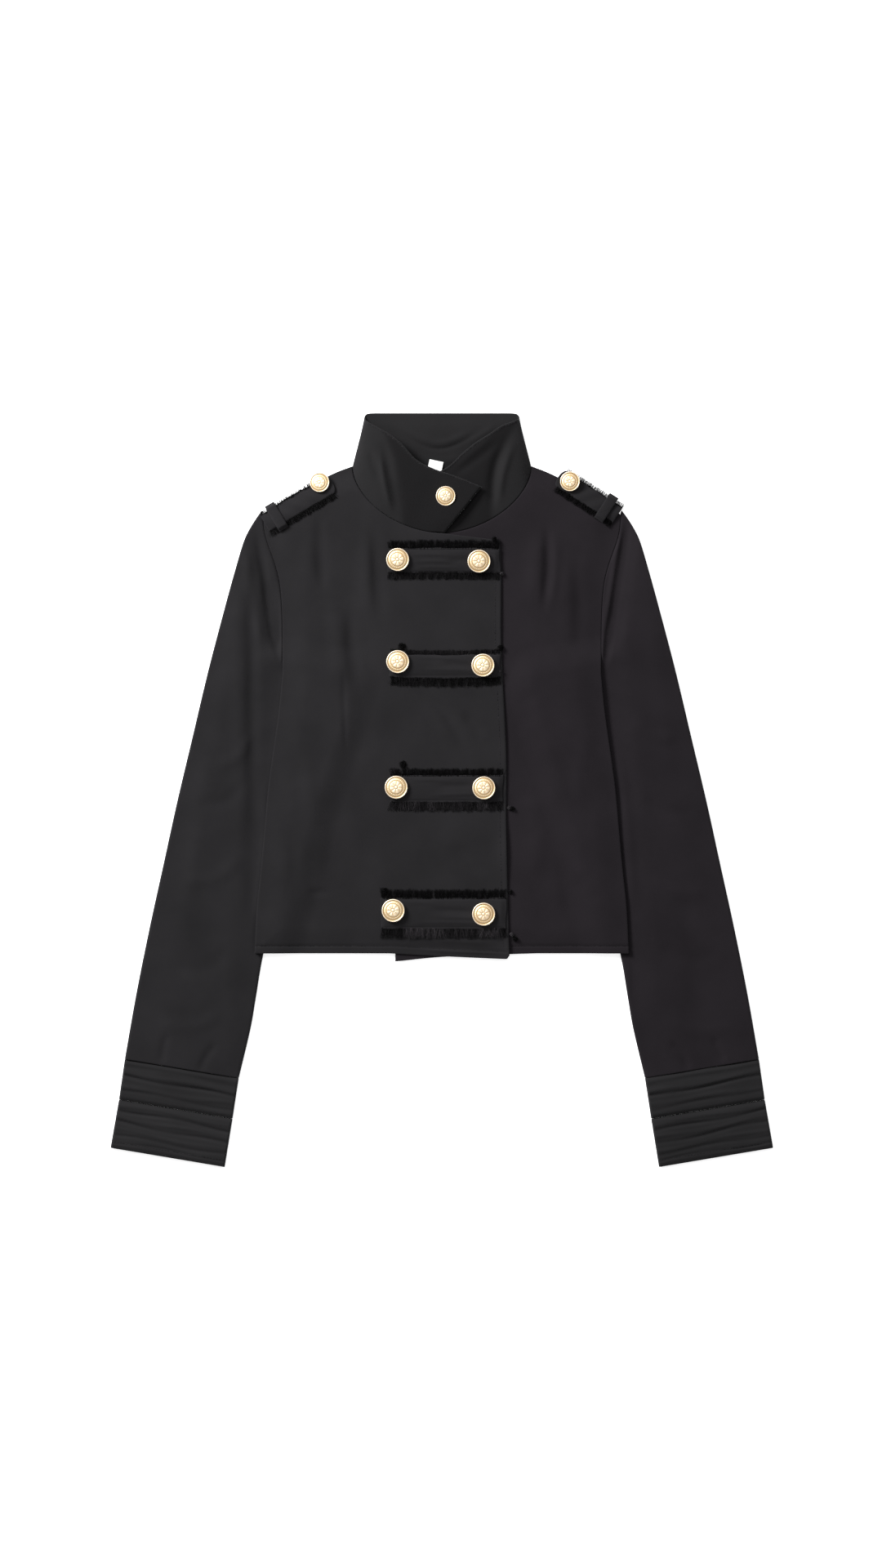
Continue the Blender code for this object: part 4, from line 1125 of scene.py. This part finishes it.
def knot(x, y, size, surface, seed, tone=0.02, count=70):
    """A small tangle: threads that curl round the place, p(s) = centre + size·ρ·(cos(a + ws), sin(a + ws))·s."""
    rng = np.random.default_rng(seed)
    s = np.linspace(0.15, 1, THREAD_STATIONS)[None]
    start, curl = rng.uniform(0, 2 * math.pi, (count, 1)), rng.normal(0, 2.2, (count, 1))
    out = size * rng.uniform(0.45, 1.0, (count, 1)) * s
    px, py = x + out * np.cos(start + curl * s), y + out * np.sin(start + curl * s)
    height = surface(px, py) + 0.3 + rng.uniform(0.2, 2.2, (count, 1)) * np.sin(np.pi * s)
    radius = np.broadcast_to(THREAD_RADIUS * rng.uniform(0.9, 1.3, (count, 1)), px.shape)
    return np.dstack([px, py, height]), radius, np.clip(tone * np.exp(rng.normal(0, 0.4, count)), 0, 1)


def frayed(name, node_name, edges, material=THREAD):
    """The threads of one frayed edge, standing for its frame node."""
    paths, radii, tones = (np.concatenate(v) for v in zip(*edges))
    piece = strands(name, paths, radii, material, sides=3, tone=tones)
    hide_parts(node_name)
    print(f"{name}: {len(paths)} threads")


STITCH_PITCH = 2.9
STITCH_LENGTH = 2.1
STITCH_RADIUS = 0.21


def on_surface(line, surface):
    """A line in plan, laid on a surface."""
    line = np.asarray(line, float)
    return np.column_stack([line, surface(line[:, 0], line[:, 1])])


def stitch_paths(line, pitch=STITCH_PITCH):
    """Stitches along a line on the cloth: each is a short path that dips into the cloth at both ends."""
    total = length(line)
    middle = np.arange(pitch / 2, total, pitch)
    reach = np.array([-0.5, -0.22, 0.22, 0.5]) * STITCH_LENGTH
    paths = along(line, ((middle[:, None] + reach[None]) / total).ravel()).reshape(len(middle), 4, 3)
    paths[..., 2] += STITCH_RADIUS * np.array([-1.0, 0.55, 0.55, -1.0])
    return paths


def stitched(name, lines):
    """All the stitches of some sewn lines, joined in one mesh."""
    paths = np.concatenate([stitch_paths(line) for line in lines])
    tone = np.random.default_rng(len(paths)).uniform(0, 1, len(paths))
    strands(name, paths, np.full(paths.shape[:2], STITCH_RADIUS), SEWING, tone=tone)
    print(f"{name}: {len(paths)} stitches")


# %% [markdown]
# Four straps cross the lap. Each is a folded band of the same cloth, a little crowned, slightly uneven along
# its edges, with two or three soft creases along it. It lies on the lap, so its height is the lap's height
# with its own added. Its frayed edges are the threads made above.

# %% Straps across the lap
TABS = [  # left x, right x, lower y, upper y, upper fringe, lower fringe, sag
    (-51.5, 55.6, 207.1, 230.5, 8.4, 7.0, 0.5),
    (-49.9, 56.2, 108.0, 130.7, 5.0, 8.6, -1.6),
    (-49.1, 58.5, -11.3, 14.4, 7.2, 9.2, -0.4),
    (-58.5, 61.6, -132.2, -102.6, 9.0, 9.6, -0.6),
]
TAB_TONES = [  # strap's edge: the tone of its threads all along, then paler stretches as x0, x1, tone
    ((0.012, []), (0.05, [(-46, -20, 0.16)])),
    ((0.16, [(-30, 30, 0.24)]), (0.015, [(-46, -8, 0.05)])),
    ((0.012, []), (0.10, [(-41, -20, 0.55), (-15, -4, 0.75), (-4, 30, 0.30), (32, 47, 0.62)])),
    ((0.012, []), (0.06, [(-38, 3, 1.0), (3, 32, 0.40), (33, 56, 1.0)])),
]
TAB_KNOTS = [  # x, y, size, tone
    [(49.9, 239.6, 3.0, 0.012), (57.4, 206.6, 2.4, 0.9)],
    [(-38.2, 137.2, 4.2, 0.012), (56.0, 136.2, 3.4, 0.012), (55.5, 113.5, 2.0, 0.7)],
    [(-37.0, 24.5, 4.2, 0.012), (64.6, -16.8, 2.6, 0.5), (67.5, -17.6, 2.4, 0.02)],
    [(-55.0, -97.0, 4.4, 0.012), (65.5, -97.0, 2.6, 0.05), (66.8, -138.0, 2.6, 0.9), (70.0, -142.0, 2.8, 0.02)],
]
TAB_STEP = 1.1
TAB_CROWN = 1.3
TAB_SEAM = 1.3
TAB_CREASES = [  # share along and across at one end, then at the other, half width in mm, height
    [(0.16, 0.74, 0.62, 0.72, 1.3, 0.6), (0.18, 0.46, 0.62, 0.44, 1.4, 0.55), (0.5, 0.52, 0.86, 0.50, 3.2, -1.0),
     (0.2, 0.22, 0.7, 0.2, 1.5, 0.5)],
    [(0.2, 0.30, 0.9, 0.24, 1.8, 0.5), (0.42, 0.56, 0.82, 0.44, 3.0, -0.9), (0.2, 0.8, 0.7, 0.74, 1.4, 0.5)],
    [(0.12, 0.80, 0.6, 0.78, 1.4, 0.6), (0.36, 0.56, 0.82, 0.60, 3.4, -1.1), (0.3, 0.22, 0.9, 0.3, 1.8, 0.6)],
    [(0.34, 0.60, 0.84, 0.50, 3.4, -1.2), (0.2, 0.2, 0.95, 0.16, 1.6, 0.6), (0.12, 0.84, 0.5, 0.80, 2.0, 0.5),
     (0.4, 0.36, 0.9, 0.32, 1.8, 0.5)],
]


def tones_along(row):
    """The tone of a fringe's threads as a function of x, with soft ends to each paler stretch."""
    plain, paler = row

    def tone(x):
        total = np.full(np.shape(x), plain)
        for start, end, value in paler:
            total += (value - plain) * smooth((x - start) / 2.5) * smooth((end - x) / 2.5)
        streak = 0.6 + 0.4 * np.sin(x * 1.9 + plain * 50) * np.sin(x * 0.7)
        return np.clip(total * np.where(total > 0.1, streak, 1), 0.004, 1)

    return tone


def tab_surface(row, marks):
    """The strap's upper side: z = lap + wall + crown · (1 − w²) + creases, with w from −1 to 1 across it."""
    left, right, low, high, *_ = row

    def surface(x, y):
        along_share, across_share = (x - left) / (right - left), (y - low) / (high - low)
        w = np.clip(2 * across_share - 1, -1, 1)
        lines = [
            (left + a * (right - left), low + b * (high - low), left + (a + c) / 2 * (right - left),
             low + (b + d) / 2 * (high - low) + 0.6, left + c * (right - left), low + d * (high - low), wide, tall)
            for a, b, c, d, wide, tall in marks
        ]
        ends = smooth(along_share * 20) * smooth((1 - along_share) * 20)
        from_edge = (1 - np.abs(w)) * (high - low) / 2
        seam = -0.5 * np.exp(-(((from_edge - TAB_SEAM) / 0.6) ** 2))
        return on_lap(x, y) + THIN + (TAB_CROWN * (1 - w**2) + seam + 0.3) * ends + creases(x, y, lines)

    return surface


def tab(number, row, marks):
    left, right, low, high, up, down, sag = row
    surface = tab_surface(row, marks)
    u, v = spaced(right - left, TAB_STEP), spaced(high - low, TAB_STEP)
    share, across = np.meshgrid(u, v)
    sway = sag * (1 - (2 * share - 1) ** 2)
    wobble = 0.25 * np.sin(share * 17 + number) + 0.15 * np.sin(share * 41 + 2 * number)
    plan = np.dstack([left + share * (right - left), low + across * (high - low) + sway + wobble])
    end_wave = 0.5 * np.sin(across * 5 + number)
    plan[..., 0] += end_wave * (2 * share - 1) ** 9
    piece = shell(f"tab_{number}", np.dstack([plan, surface(plan[..., 0], plan[..., 1])]), THIN, CLOTH, uv=plan)
    declare(f"tab_{number}")

    def below(x, y):
        """The lap, and past its edge the front beneath it."""
        edge = np.interp(y, [p[1] for p in LAP_EDGE], [p[0] for p in LAP_EDGE])
        return np.where(x < edge, on_lap(x, y) - 0.2, under_front(x, y) + WALL + 0.6)

    pieces = 6
    x = np.linspace(left + 0.5, right - 0.5, pieces + 1)
    bow = sag * (1 - (2 * (x - left) / (right - left) - 1) ** 2)
    sides = (("upper", high + bow, 1, up), ("lower", low + bow, -1, down))
    for (word, y, out, reach), tones in zip(sides, TAB_TONES[number - 1]):
        edges = [
            frayed_edge(
                (x[k], y[k]), (x[k + 1], y[k + 1]), (0, out), reach, below, 10 * number + k + (out < 0) * 50,
                tone=tones_along(tones),
            )
            for k in range(pieces)
        ]
        edges += [
            knot(kx, ky, size, below, 7 * number + k, tone)
            for k, (kx, ky, size, tone) in enumerate(TAB_KNOTS[number - 1])
            if (ky > (low + high) / 2) == (out > 0)
        ]
        frayed(f"tab_{number}_threads_{word}", f"tab_{number}_fringe_{word}", edges)
    return surface


TAB_SURFACES = [tab(number, row, marks) for number, (row, marks) in enumerate(zip(TABS, TAB_CREASES), 1)]

# %% [markdown]
# A shoulder strap runs from the sleeve's head up to the collar. It is worked out in its own axes, one along
# it and one across it, and then turned into place. A short loop holds it down near the sleeve.

# %% Shoulder straps
EPAULETTES = [  # side, sleeve end x, y, neck end x, y, button x, y
    ("right", -169, 254.5, -104, 293, -116.4, 293.5),
    ("left", 168, 262.5, 111, 299.5, 122.2, 294.5),
]
EPAULETTE_WIDTH = 18.0
EPAULETTE_FRINGES = (3.4, 5.6)  # upper, lower
EPAULETTE_TONES = (0.05, 0.010)
EPAULETTE_STEP = 1.0
LOOP_WIDTH = 10.0
LOOP_LENGTH = 28.0
LOOP_FROM_END = 13.0
TIP = 0.45


def strap_axes(row):
    """A function that turns the strap's own axes, along it and towards its upper edge, into the jacket's."""
    _, sx, sy, nx, ny, *_ = row
    run = math.hypot(nx - sx, ny - sy)
    ax, ay = (nx - sx) / run, (ny - sy) / run
    upwards = 1 if ax > 0 else -1

    def place(a, b):
        across = np.asarray(b, float) * upwards
        return np.stack([sx + a * ax - across * ay, sy + a * ay + across * ax], axis=-1)

    return run, place


def epaulette(row):
    side = row[0]
    run, place = strap_axes(row)
    half = EPAULETTE_WIDTH / 2
    near_tip = run - TIP * half
    reach = near_tip + TIP * half * 0.96
    u, v = spaced(reach, EPAULETTE_STEP, extra=(near_tip,)), spaced(2 * half, EPAULETTE_STEP)
    share, across = np.meshgrid(u, v)
    a = share * reach
    narrow = np.sqrt(np.clip(1 - (np.maximum(a - near_tip, 0) / (TIP * half)) ** 2, 0.06, 1))
    w = 2 * across - 1
    plan = place(a, half * narrow * w + 0.35 * np.sin(a * 0.31) * (1 - share))
    x, y = plan[..., 0], plan[..., 1]
    z = on_shoulder(x, y) + THIN + 0.8 * (1 - w**2) + 0.25 * np.sin(a * 0.4 + 3 * w)
    piece = shell(f"epaulette_{side}", np.dstack([plan, z]), THIN, CLOTH, uv=plan, flip=row[1] > 0)
    declare(f"epaulette_{side}")
    for word, sign, fringe, tone in zip(("upper", "lower"), (1, -1), EPAULETTE_FRINGES, EPAULETTE_TONES):
        stops = np.linspace(0.5, run - 4, 4)
        corners = place(stops, sign * half * np.ones(4))
        outward = place(0.0, float(sign)) - place(0.0, 0.0)
        edges = [
            frayed_edge(
                corners[k], corners[k + 1], outward, fringe, lambda p, q: on_shoulder(p, q) - 0.2,
                200 + 10 * k + sign + int(row[1]), tone=tone,
            )
            for k in range(3)
        ]
        frayed(f"epaulette_{side}_threads_{word}", f"epaulette_{side}_fringe_{word}", edges)
    loop(row, place)


def loop(row, place):
    side = row[0]
    u, v = spaced(LOOP_WIDTH, 0.9), spaced(LOOP_LENGTH, 0.9)
    share, across = np.meshgrid(u, v)
    a, b = LOOP_FROM_END + (share - 0.5) * LOOP_WIDTH, (across - 0.5) * LOOP_LENGTH
    plan = place(a, b)
    x, y = plan[..., 0], plan[..., 1]
    over = 1 - smooth((np.abs(b) - EPAULETTE_WIDTH / 2 - 1.5) / 3)
    z = highest_near(on_shoulder, x, y) + THIN + over * (THIN + 1.3) + 0.4 * (1 - (2 * share - 1) ** 2)
    name = f"epaulette_{side}_loop"
    piece = shell(name, np.dstack([plan, z]), THIN, CLOTH, uv=plan, flip=row[1] > 0)
    declare(name)


for row in EPAULETTES:
    epaulette(row)

# %% [markdown]
# A gilt button is a low turned dome with a fine bright rim, struck with a rosette: eight petals round a boss,
# and a ring of beads. It could be cut from a height map, but a formula stays crisp at any size. The height is
# a function of radius and angle, and the same height tints the metal, dark in the hollows and bright on top.

# %% Buttons
BUTTON_HEIGHT = 5.0
BUTTON_PROFILE = [  # radius, height
    (0, 0.86), (0.2, 0.855), (0.4, 0.835), (0.56, 0.80), (0.68, 0.755), (0.78, 0.70), (0.84, 0.665), (0.875, 0.69),
    (0.91, 0.755), (0.95, 0.765), (0.98, 0.70), (1.0, 0.55), (0.99, 0.30), (0.965, 0.10), (0.93, 0.0), (0.5, 0.0),
    (0.02, 0.0),
]
PETALS = 8
BEADS = 28
CORDS = 44
TURN_STEPS = 88
PROFILE_STEP = 0.026


def button_grid():
    """Radius, angle and height of a button of radius 1: profile(r) + petals + beads + cord, each within its ring:
    petals 0.075·|cos(4θ)|^0.6 in 0.13 to 0.58, beads 0.05·|cos(14θ)| in 0.62 to 0.78, cord 0.012·cos(44θ)."""
    line = between(np.array(BUTTON_PROFILE, float), 8)
    line = along(line, np.linspace(0, 1, int(length(line) / PROFILE_STEP)))
    r, h = line[:, 0][:, None], line[:, 1][:, None]
    upper = h > 0.5
    turn = np.linspace(0, 2 * math.pi, TURN_STEPS, endpoint=False)[None]

    def ring(low, high, soft):
        return smooth((r - low) / soft) * smooth((high - r) / soft)

    leaf = np.abs(np.cos(turn * PETALS / 2)) ** 0.6
    rib = 0.5 + 0.5 * np.cos(turn * PETALS * 3 + r * 14)
    petals = 0.075 * leaf * (0.7 + 0.3 * rib) * ring(0.13, 0.58, 0.10)
    boss = 0.08 * smooth((0.15 - r) / 0.08)
    beads = 0.05 * np.abs(np.cos(turn * BEADS / 2)) * ring(0.62, 0.78, 0.05)
    cord = 0.012 * np.cos(turn * CORDS) * ring(0.90, 1.0, 0.03)
    marks = upper * (petals + boss + beads + cord)
    base = 0.50 + 0.45 * ring(0.89, 1.2, 0.03) - 0.22 * ring(0.80, 0.90, 0.03) - 0.18 * ring(0.56, 0.64, 0.03)
    tint = np.clip(base + marks * 5.5, 0, 1)
    return r * np.ones_like(turn), turn * np.ones_like(r), h + marks, np.where(upper, tint, 0.3)


BUTTON = button_grid()
LOWEST_POINT = 0.15


def node_points(node_name):
    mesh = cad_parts[node_name].data
    flat = np.empty(len(mesh.vertices) * 3, np.float32)
    mesh.vertices.foreach_get("co", flat)
    return flat.reshape(-1, 3).astype(float) / MM


def button(node_name, radius, surface, turn):
    """The button stands where the frame's button does, tilted as that one is, on the dressed cloth below it."""
    points = node_points(node_name)
    low, high = points.min(axis=0), points.max(axis=0)
    centre = (low + high) / 2
    _, _, axes = np.linalg.svd(points - points.mean(axis=0), full_matrices=False)
    up = axes[2] * np.sign(axes[2][2])
    right = np.cross([0, 1.0, 0], up)
    right /= np.linalg.norm(right)
    ahead = np.cross(up, right)
    ring = np.arange(8) * math.pi / 4
    x, y = centre[0] + radius * 0.9 * np.cos(ring), centre[1] + radius * 0.9 * np.sin(ring)
    slope = -(up[0] * (x - centre[0]) + up[1] * (y - centre[1])) / up[2]
    seat = float(np.median(surface(x, y) - slope)) + LOWEST_POINT
    r, angle, h, tint = BUTTON
    a, b = radius * r * np.cos(angle + turn), radius * r * np.sin(angle + turn)
    base = np.array([centre[0], centre[1], seat])
    made = base + a[..., None] * right + b[..., None] * ahead + (BUTTON_HEIGHT * h)[..., None] * up
    rows, columns = made.shape[:2]
    index = np.arange(rows * columns).reshape(rows, columns)
    poles = np.array([made[0].mean(axis=0), made[-1].mean(axis=0)])
    top, bottom = rows * columns, rows * columns + 1
    first, last = index[0], index[-1]
    fan = np.vstack([
        np.stack([np.full(columns, top), first, np.roll(first, -1)], axis=1),
        np.stack([np.full(columns, bottom), np.roll(last, -1), last], axis=1),
    ])
    walls = quads(index, True)[:, ::-1]
    halves = np.vstack([walls[:, [0, 1, 2]], walls[:, [0, 2, 3]]])
    piece = new_piece(
        f"{node_name}_gilt", np.vstack([made.reshape(-1, 3), poles]), np.vstack([halves, fan]), GILT,
        attribute=("relief", np.append(tint.ravel(), [1.0, 0.3])),
    )
    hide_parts(node_name)


def strap_top(x, y):
    return on_shoulder(x, y) + THIN + 0.6


def collar_top(x, y):
    """The collar's height at a place: that of its nearest point."""
    flat = COLLAR_POINTS.reshape(-1, 3)
    flat = flat[flat[:, 2] > 3]
    nearest = np.hypot(flat[:, 0] - np.ravel(x)[:, None], flat[:, 1] - np.ravel(y)[:, None]).argmin(axis=1)
    return flat[nearest, 2].reshape(np.shape(x))


FRONT_BUTTON_RADIUS = 11.0
SMALL_BUTTON_RADIUS = 9.4
for number, surface in enumerate(TAB_SURFACES, 1):
    button(f"button_{number}_right", FRONT_BUTTON_RADIUS, surface, 0.1 * number)
    button(f"button_{number}_left", FRONT_BUTTON_RADIUS, surface, 0.25 + 0.13 * number)
for row in EPAULETTES:
    button(f"button_epaulette_{row[0]}", SMALL_BUTTON_RADIUS, strap_top, 0.2)
button("button_collar", SMALL_BUTTON_RADIUS, collar_top, 0.3)

# %% [markdown]
# The neck label is a small white woven patch, sewn to the inside of the collar. It stays blank. Its corners
# lift a little, because it is held only at its upper edge.

# %% Neck label
LABEL_CENTRE = (-6.2, 309.2)
LABEL_SIZE = (13.6, 11.5)
LABEL_TURN = math.radians(-12.0)
LABEL_WALL = 0.4
LABEL_RISE = 1.4


def neck_label():
    w, h = LABEL_SIZE
    u, v = spaced(w, 0.8, edge=(0.15, 0.4)), spaced(h, 0.8, edge=(0.15, 0.4))
    share, across = np.meshgrid(u, v)
    a, b = (share - 0.5) * w, (across - 0.5) * h
    x = LABEL_CENTRE[0] + a * math.cos(LABEL_TURN) - b * math.sin(LABEL_TURN)
    y = LABEL_CENTRE[1] + a * math.sin(LABEL_TURN) + b * math.cos(LABEL_TURN)
    curl = 0.5 * (1 - across) ** 2 * (1 + 0.5 * np.cos(6 * share)) + 0.08 * np.sin(a)
    z = COLLAR_WALL + LABEL_RISE + LABEL_WALL + curl
    piece = shell(
        "neck_label", np.dstack([x, y, z]), LABEL_WALL, LABEL, uv=np.dstack([a, b]), roll=0.3,
    )
    declare("neck_label")


neck_label()

# %% [markdown]
# Sewing is what tells cloth from card. The hems, the cuffs and the lap's edge are top-stitched, and each
# stitch is a short raised thread in its own small dip.

# %% Sewn lines
LAP_STITCH = 6.0
COLLAR_STITCH = 0.91
lap_line = through([(x - LAP_STITCH, y) for x, y in LAP_EDGE], 4)[2:-2]
hem_right = np.array([(-176, HEM_Y + HEM_STITCH), (-51, HEM_Y + HEM_STITCH)], float)
hem_left = np.array([(66, HEM_Y + HEM_STITCH), (176, HEM_Y + HEM_STITCH)], float)
stitched("hem_stitching", [
    on_surface(along(hem_right, np.linspace(0, 1, 60)), front_right_top),
    on_surface(LAP_HEM_LINE, front_right_top),
    on_surface(along(hem_left, np.linspace(0, 1, 60)), front_left_top),
])
stitched("lap_stitching", [on_surface(lap_line, front_right_top)])
stitched("cuff_stitching", CUFF_STITCH_LINES)
collar_row = COLLAR_POINTS[int(COLLAR_STITCH * len(COLLAR_POINTS))]
stitched("collar_stitching", [collar_row[3:92], collar_row[-92:-3]])
